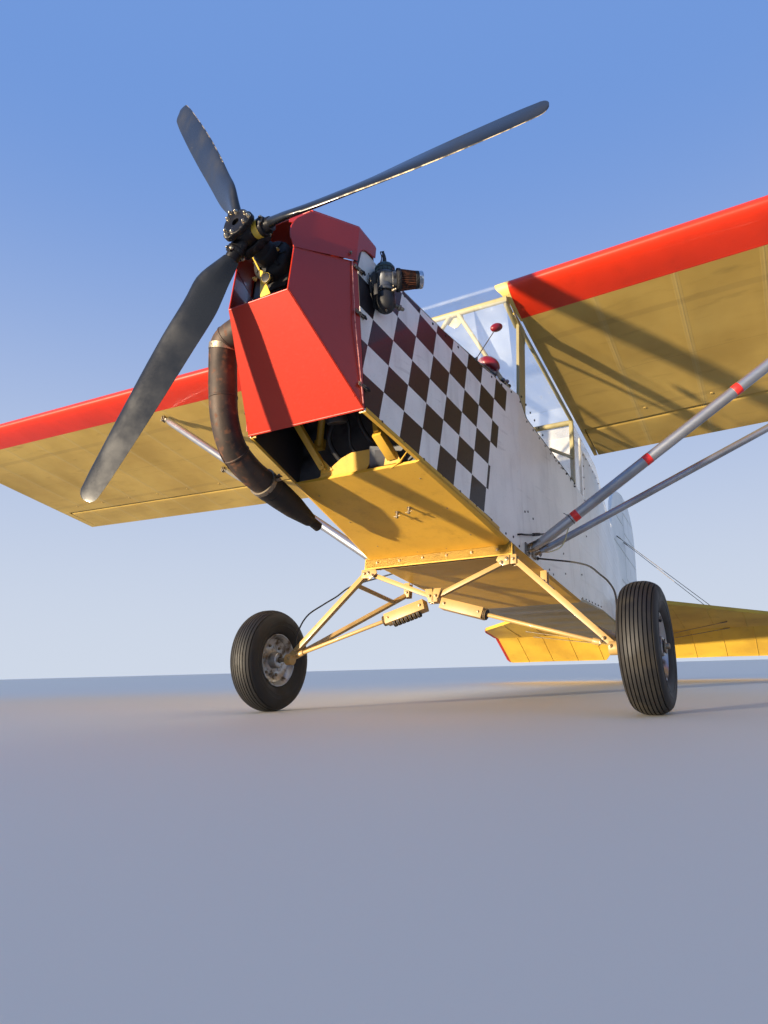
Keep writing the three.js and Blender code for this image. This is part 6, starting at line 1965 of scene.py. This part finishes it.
for s in (1, -1):
    fork.bolt((s * 37, roll.y, roll.z), (s, 0, 0), 7, height=4)
    fork.bolt((s * 26, swivel.y + 36, 158.8), (0, 0, 1), 4)
fork.build(
    "swivel_fork", "tail_swivel", "black_steel", [black_steel, plated], ["tailwheel_fork"], bevel=1.0,
    place=ground)
small_tyre = Shape()
small_tyre.turned(roll, (1, 0, 0), [
    (-15, 27), (-20, 30), (-22.4, 38), (-22, 46), (-20, 56), (-16, 62), (-10, 66.5), (-6, 68.4), (-5, 66),
    (-1, 66), (0, 69), (1, 66), (5, 66), (6, 68.4), (10, 66.5), (16, 62), (20, 56), (22, 46), (22.4, 38),
    (20, 30), (15, 27)], 64, loop=True)
small_tyre.mark = 1
small_tyre.turned(roll, (1, 0, 0), [
    (-20, 9.5), (-20, 16), (-9, 19), (-9, 26), (-15, 28), (15, 28), (9, 26), (9, 19), (20, 16), (20, 9.5)],
    40, loop=True)
small_tyre.build(
    "tail_tyre", "tail_roller", "tyre_rubber", [tyre_rubber, rim_metal], ["tailwheel"], place=ground)

# Pale floor for the tyres to stand on, wide enough to reach the horizon. It is not part of
# the aircraft.
floor_mesh = bpy.data.meshes.new("floor")
reach = 60.0
floor_mesh.from_pydata(
    [(-reach, -reach, 0), (reach, -reach, 0), (reach, reach, 0), (-reach, reach, 0)], [], [(0, 1, 2, 3)])
floor = bpy.data.objects.new("floor", floor_mesh)
bpy.context.collection.objects.link(floor)
floor_paint = Finish("floor_paint", tint(222, 216, 200), 0.8)
floor_paint.set("Roughness", 0.6 + floor_paint.noise(700, 3) * 0.2)
floor_mesh.materials.append(floor_paint.material)

# Studio light: a pale sky that deepens upwards, and one small warm key, low and ahead of the
# aircraft's right wing, which reaches under the wings and the belly.
world = bpy.data.worlds.new("studio")
world.use_nodes = True
bpy.context.scene.world = world
sky = Wire(world.node_tree)
height = sky.node("SeparateXYZ", {}, {"Vector": sky.node("TexCoord", {}, {}, "Generated")}, "Z")
sky_colour = sky.node("Mix", {"data_type": "RGBA"}, {
    0: height.grade(-0.02, 0.7), 6: (0.74, 0.82, 0.96, 1), 7: (0.2, 0.38, 0.84, 1)}, 2)
background = world.node_tree.nodes["Background"]
world.node_tree.links.new(sky_colour.socket, background.inputs["Color"])
background.inputs["Strength"].default_value = 0.84
sun_data = bpy.data.lights.new("key", "SUN")
sun_data.energy = 11.0
sun_data.color = (1.0, 0.83, 0.6)
sun_data.angle = radians(1.2)
sun = bpy.data.objects.new("key", sun_data)
bpy.context.collection.objects.link(sun)
sun_bearing, sun_height = radians(28.4), radians(2.0)
to_sun = Vector((-sin(sun_bearing) * cos(sun_height), -cos(sun_bearing) * cos(sun_height), sin(sun_height)))
sun.rotation_euler = to_sun.to_track_quat("Z", "Y").to_euler()
bpy.context.scene.view_settings.view_transform = "Standard"
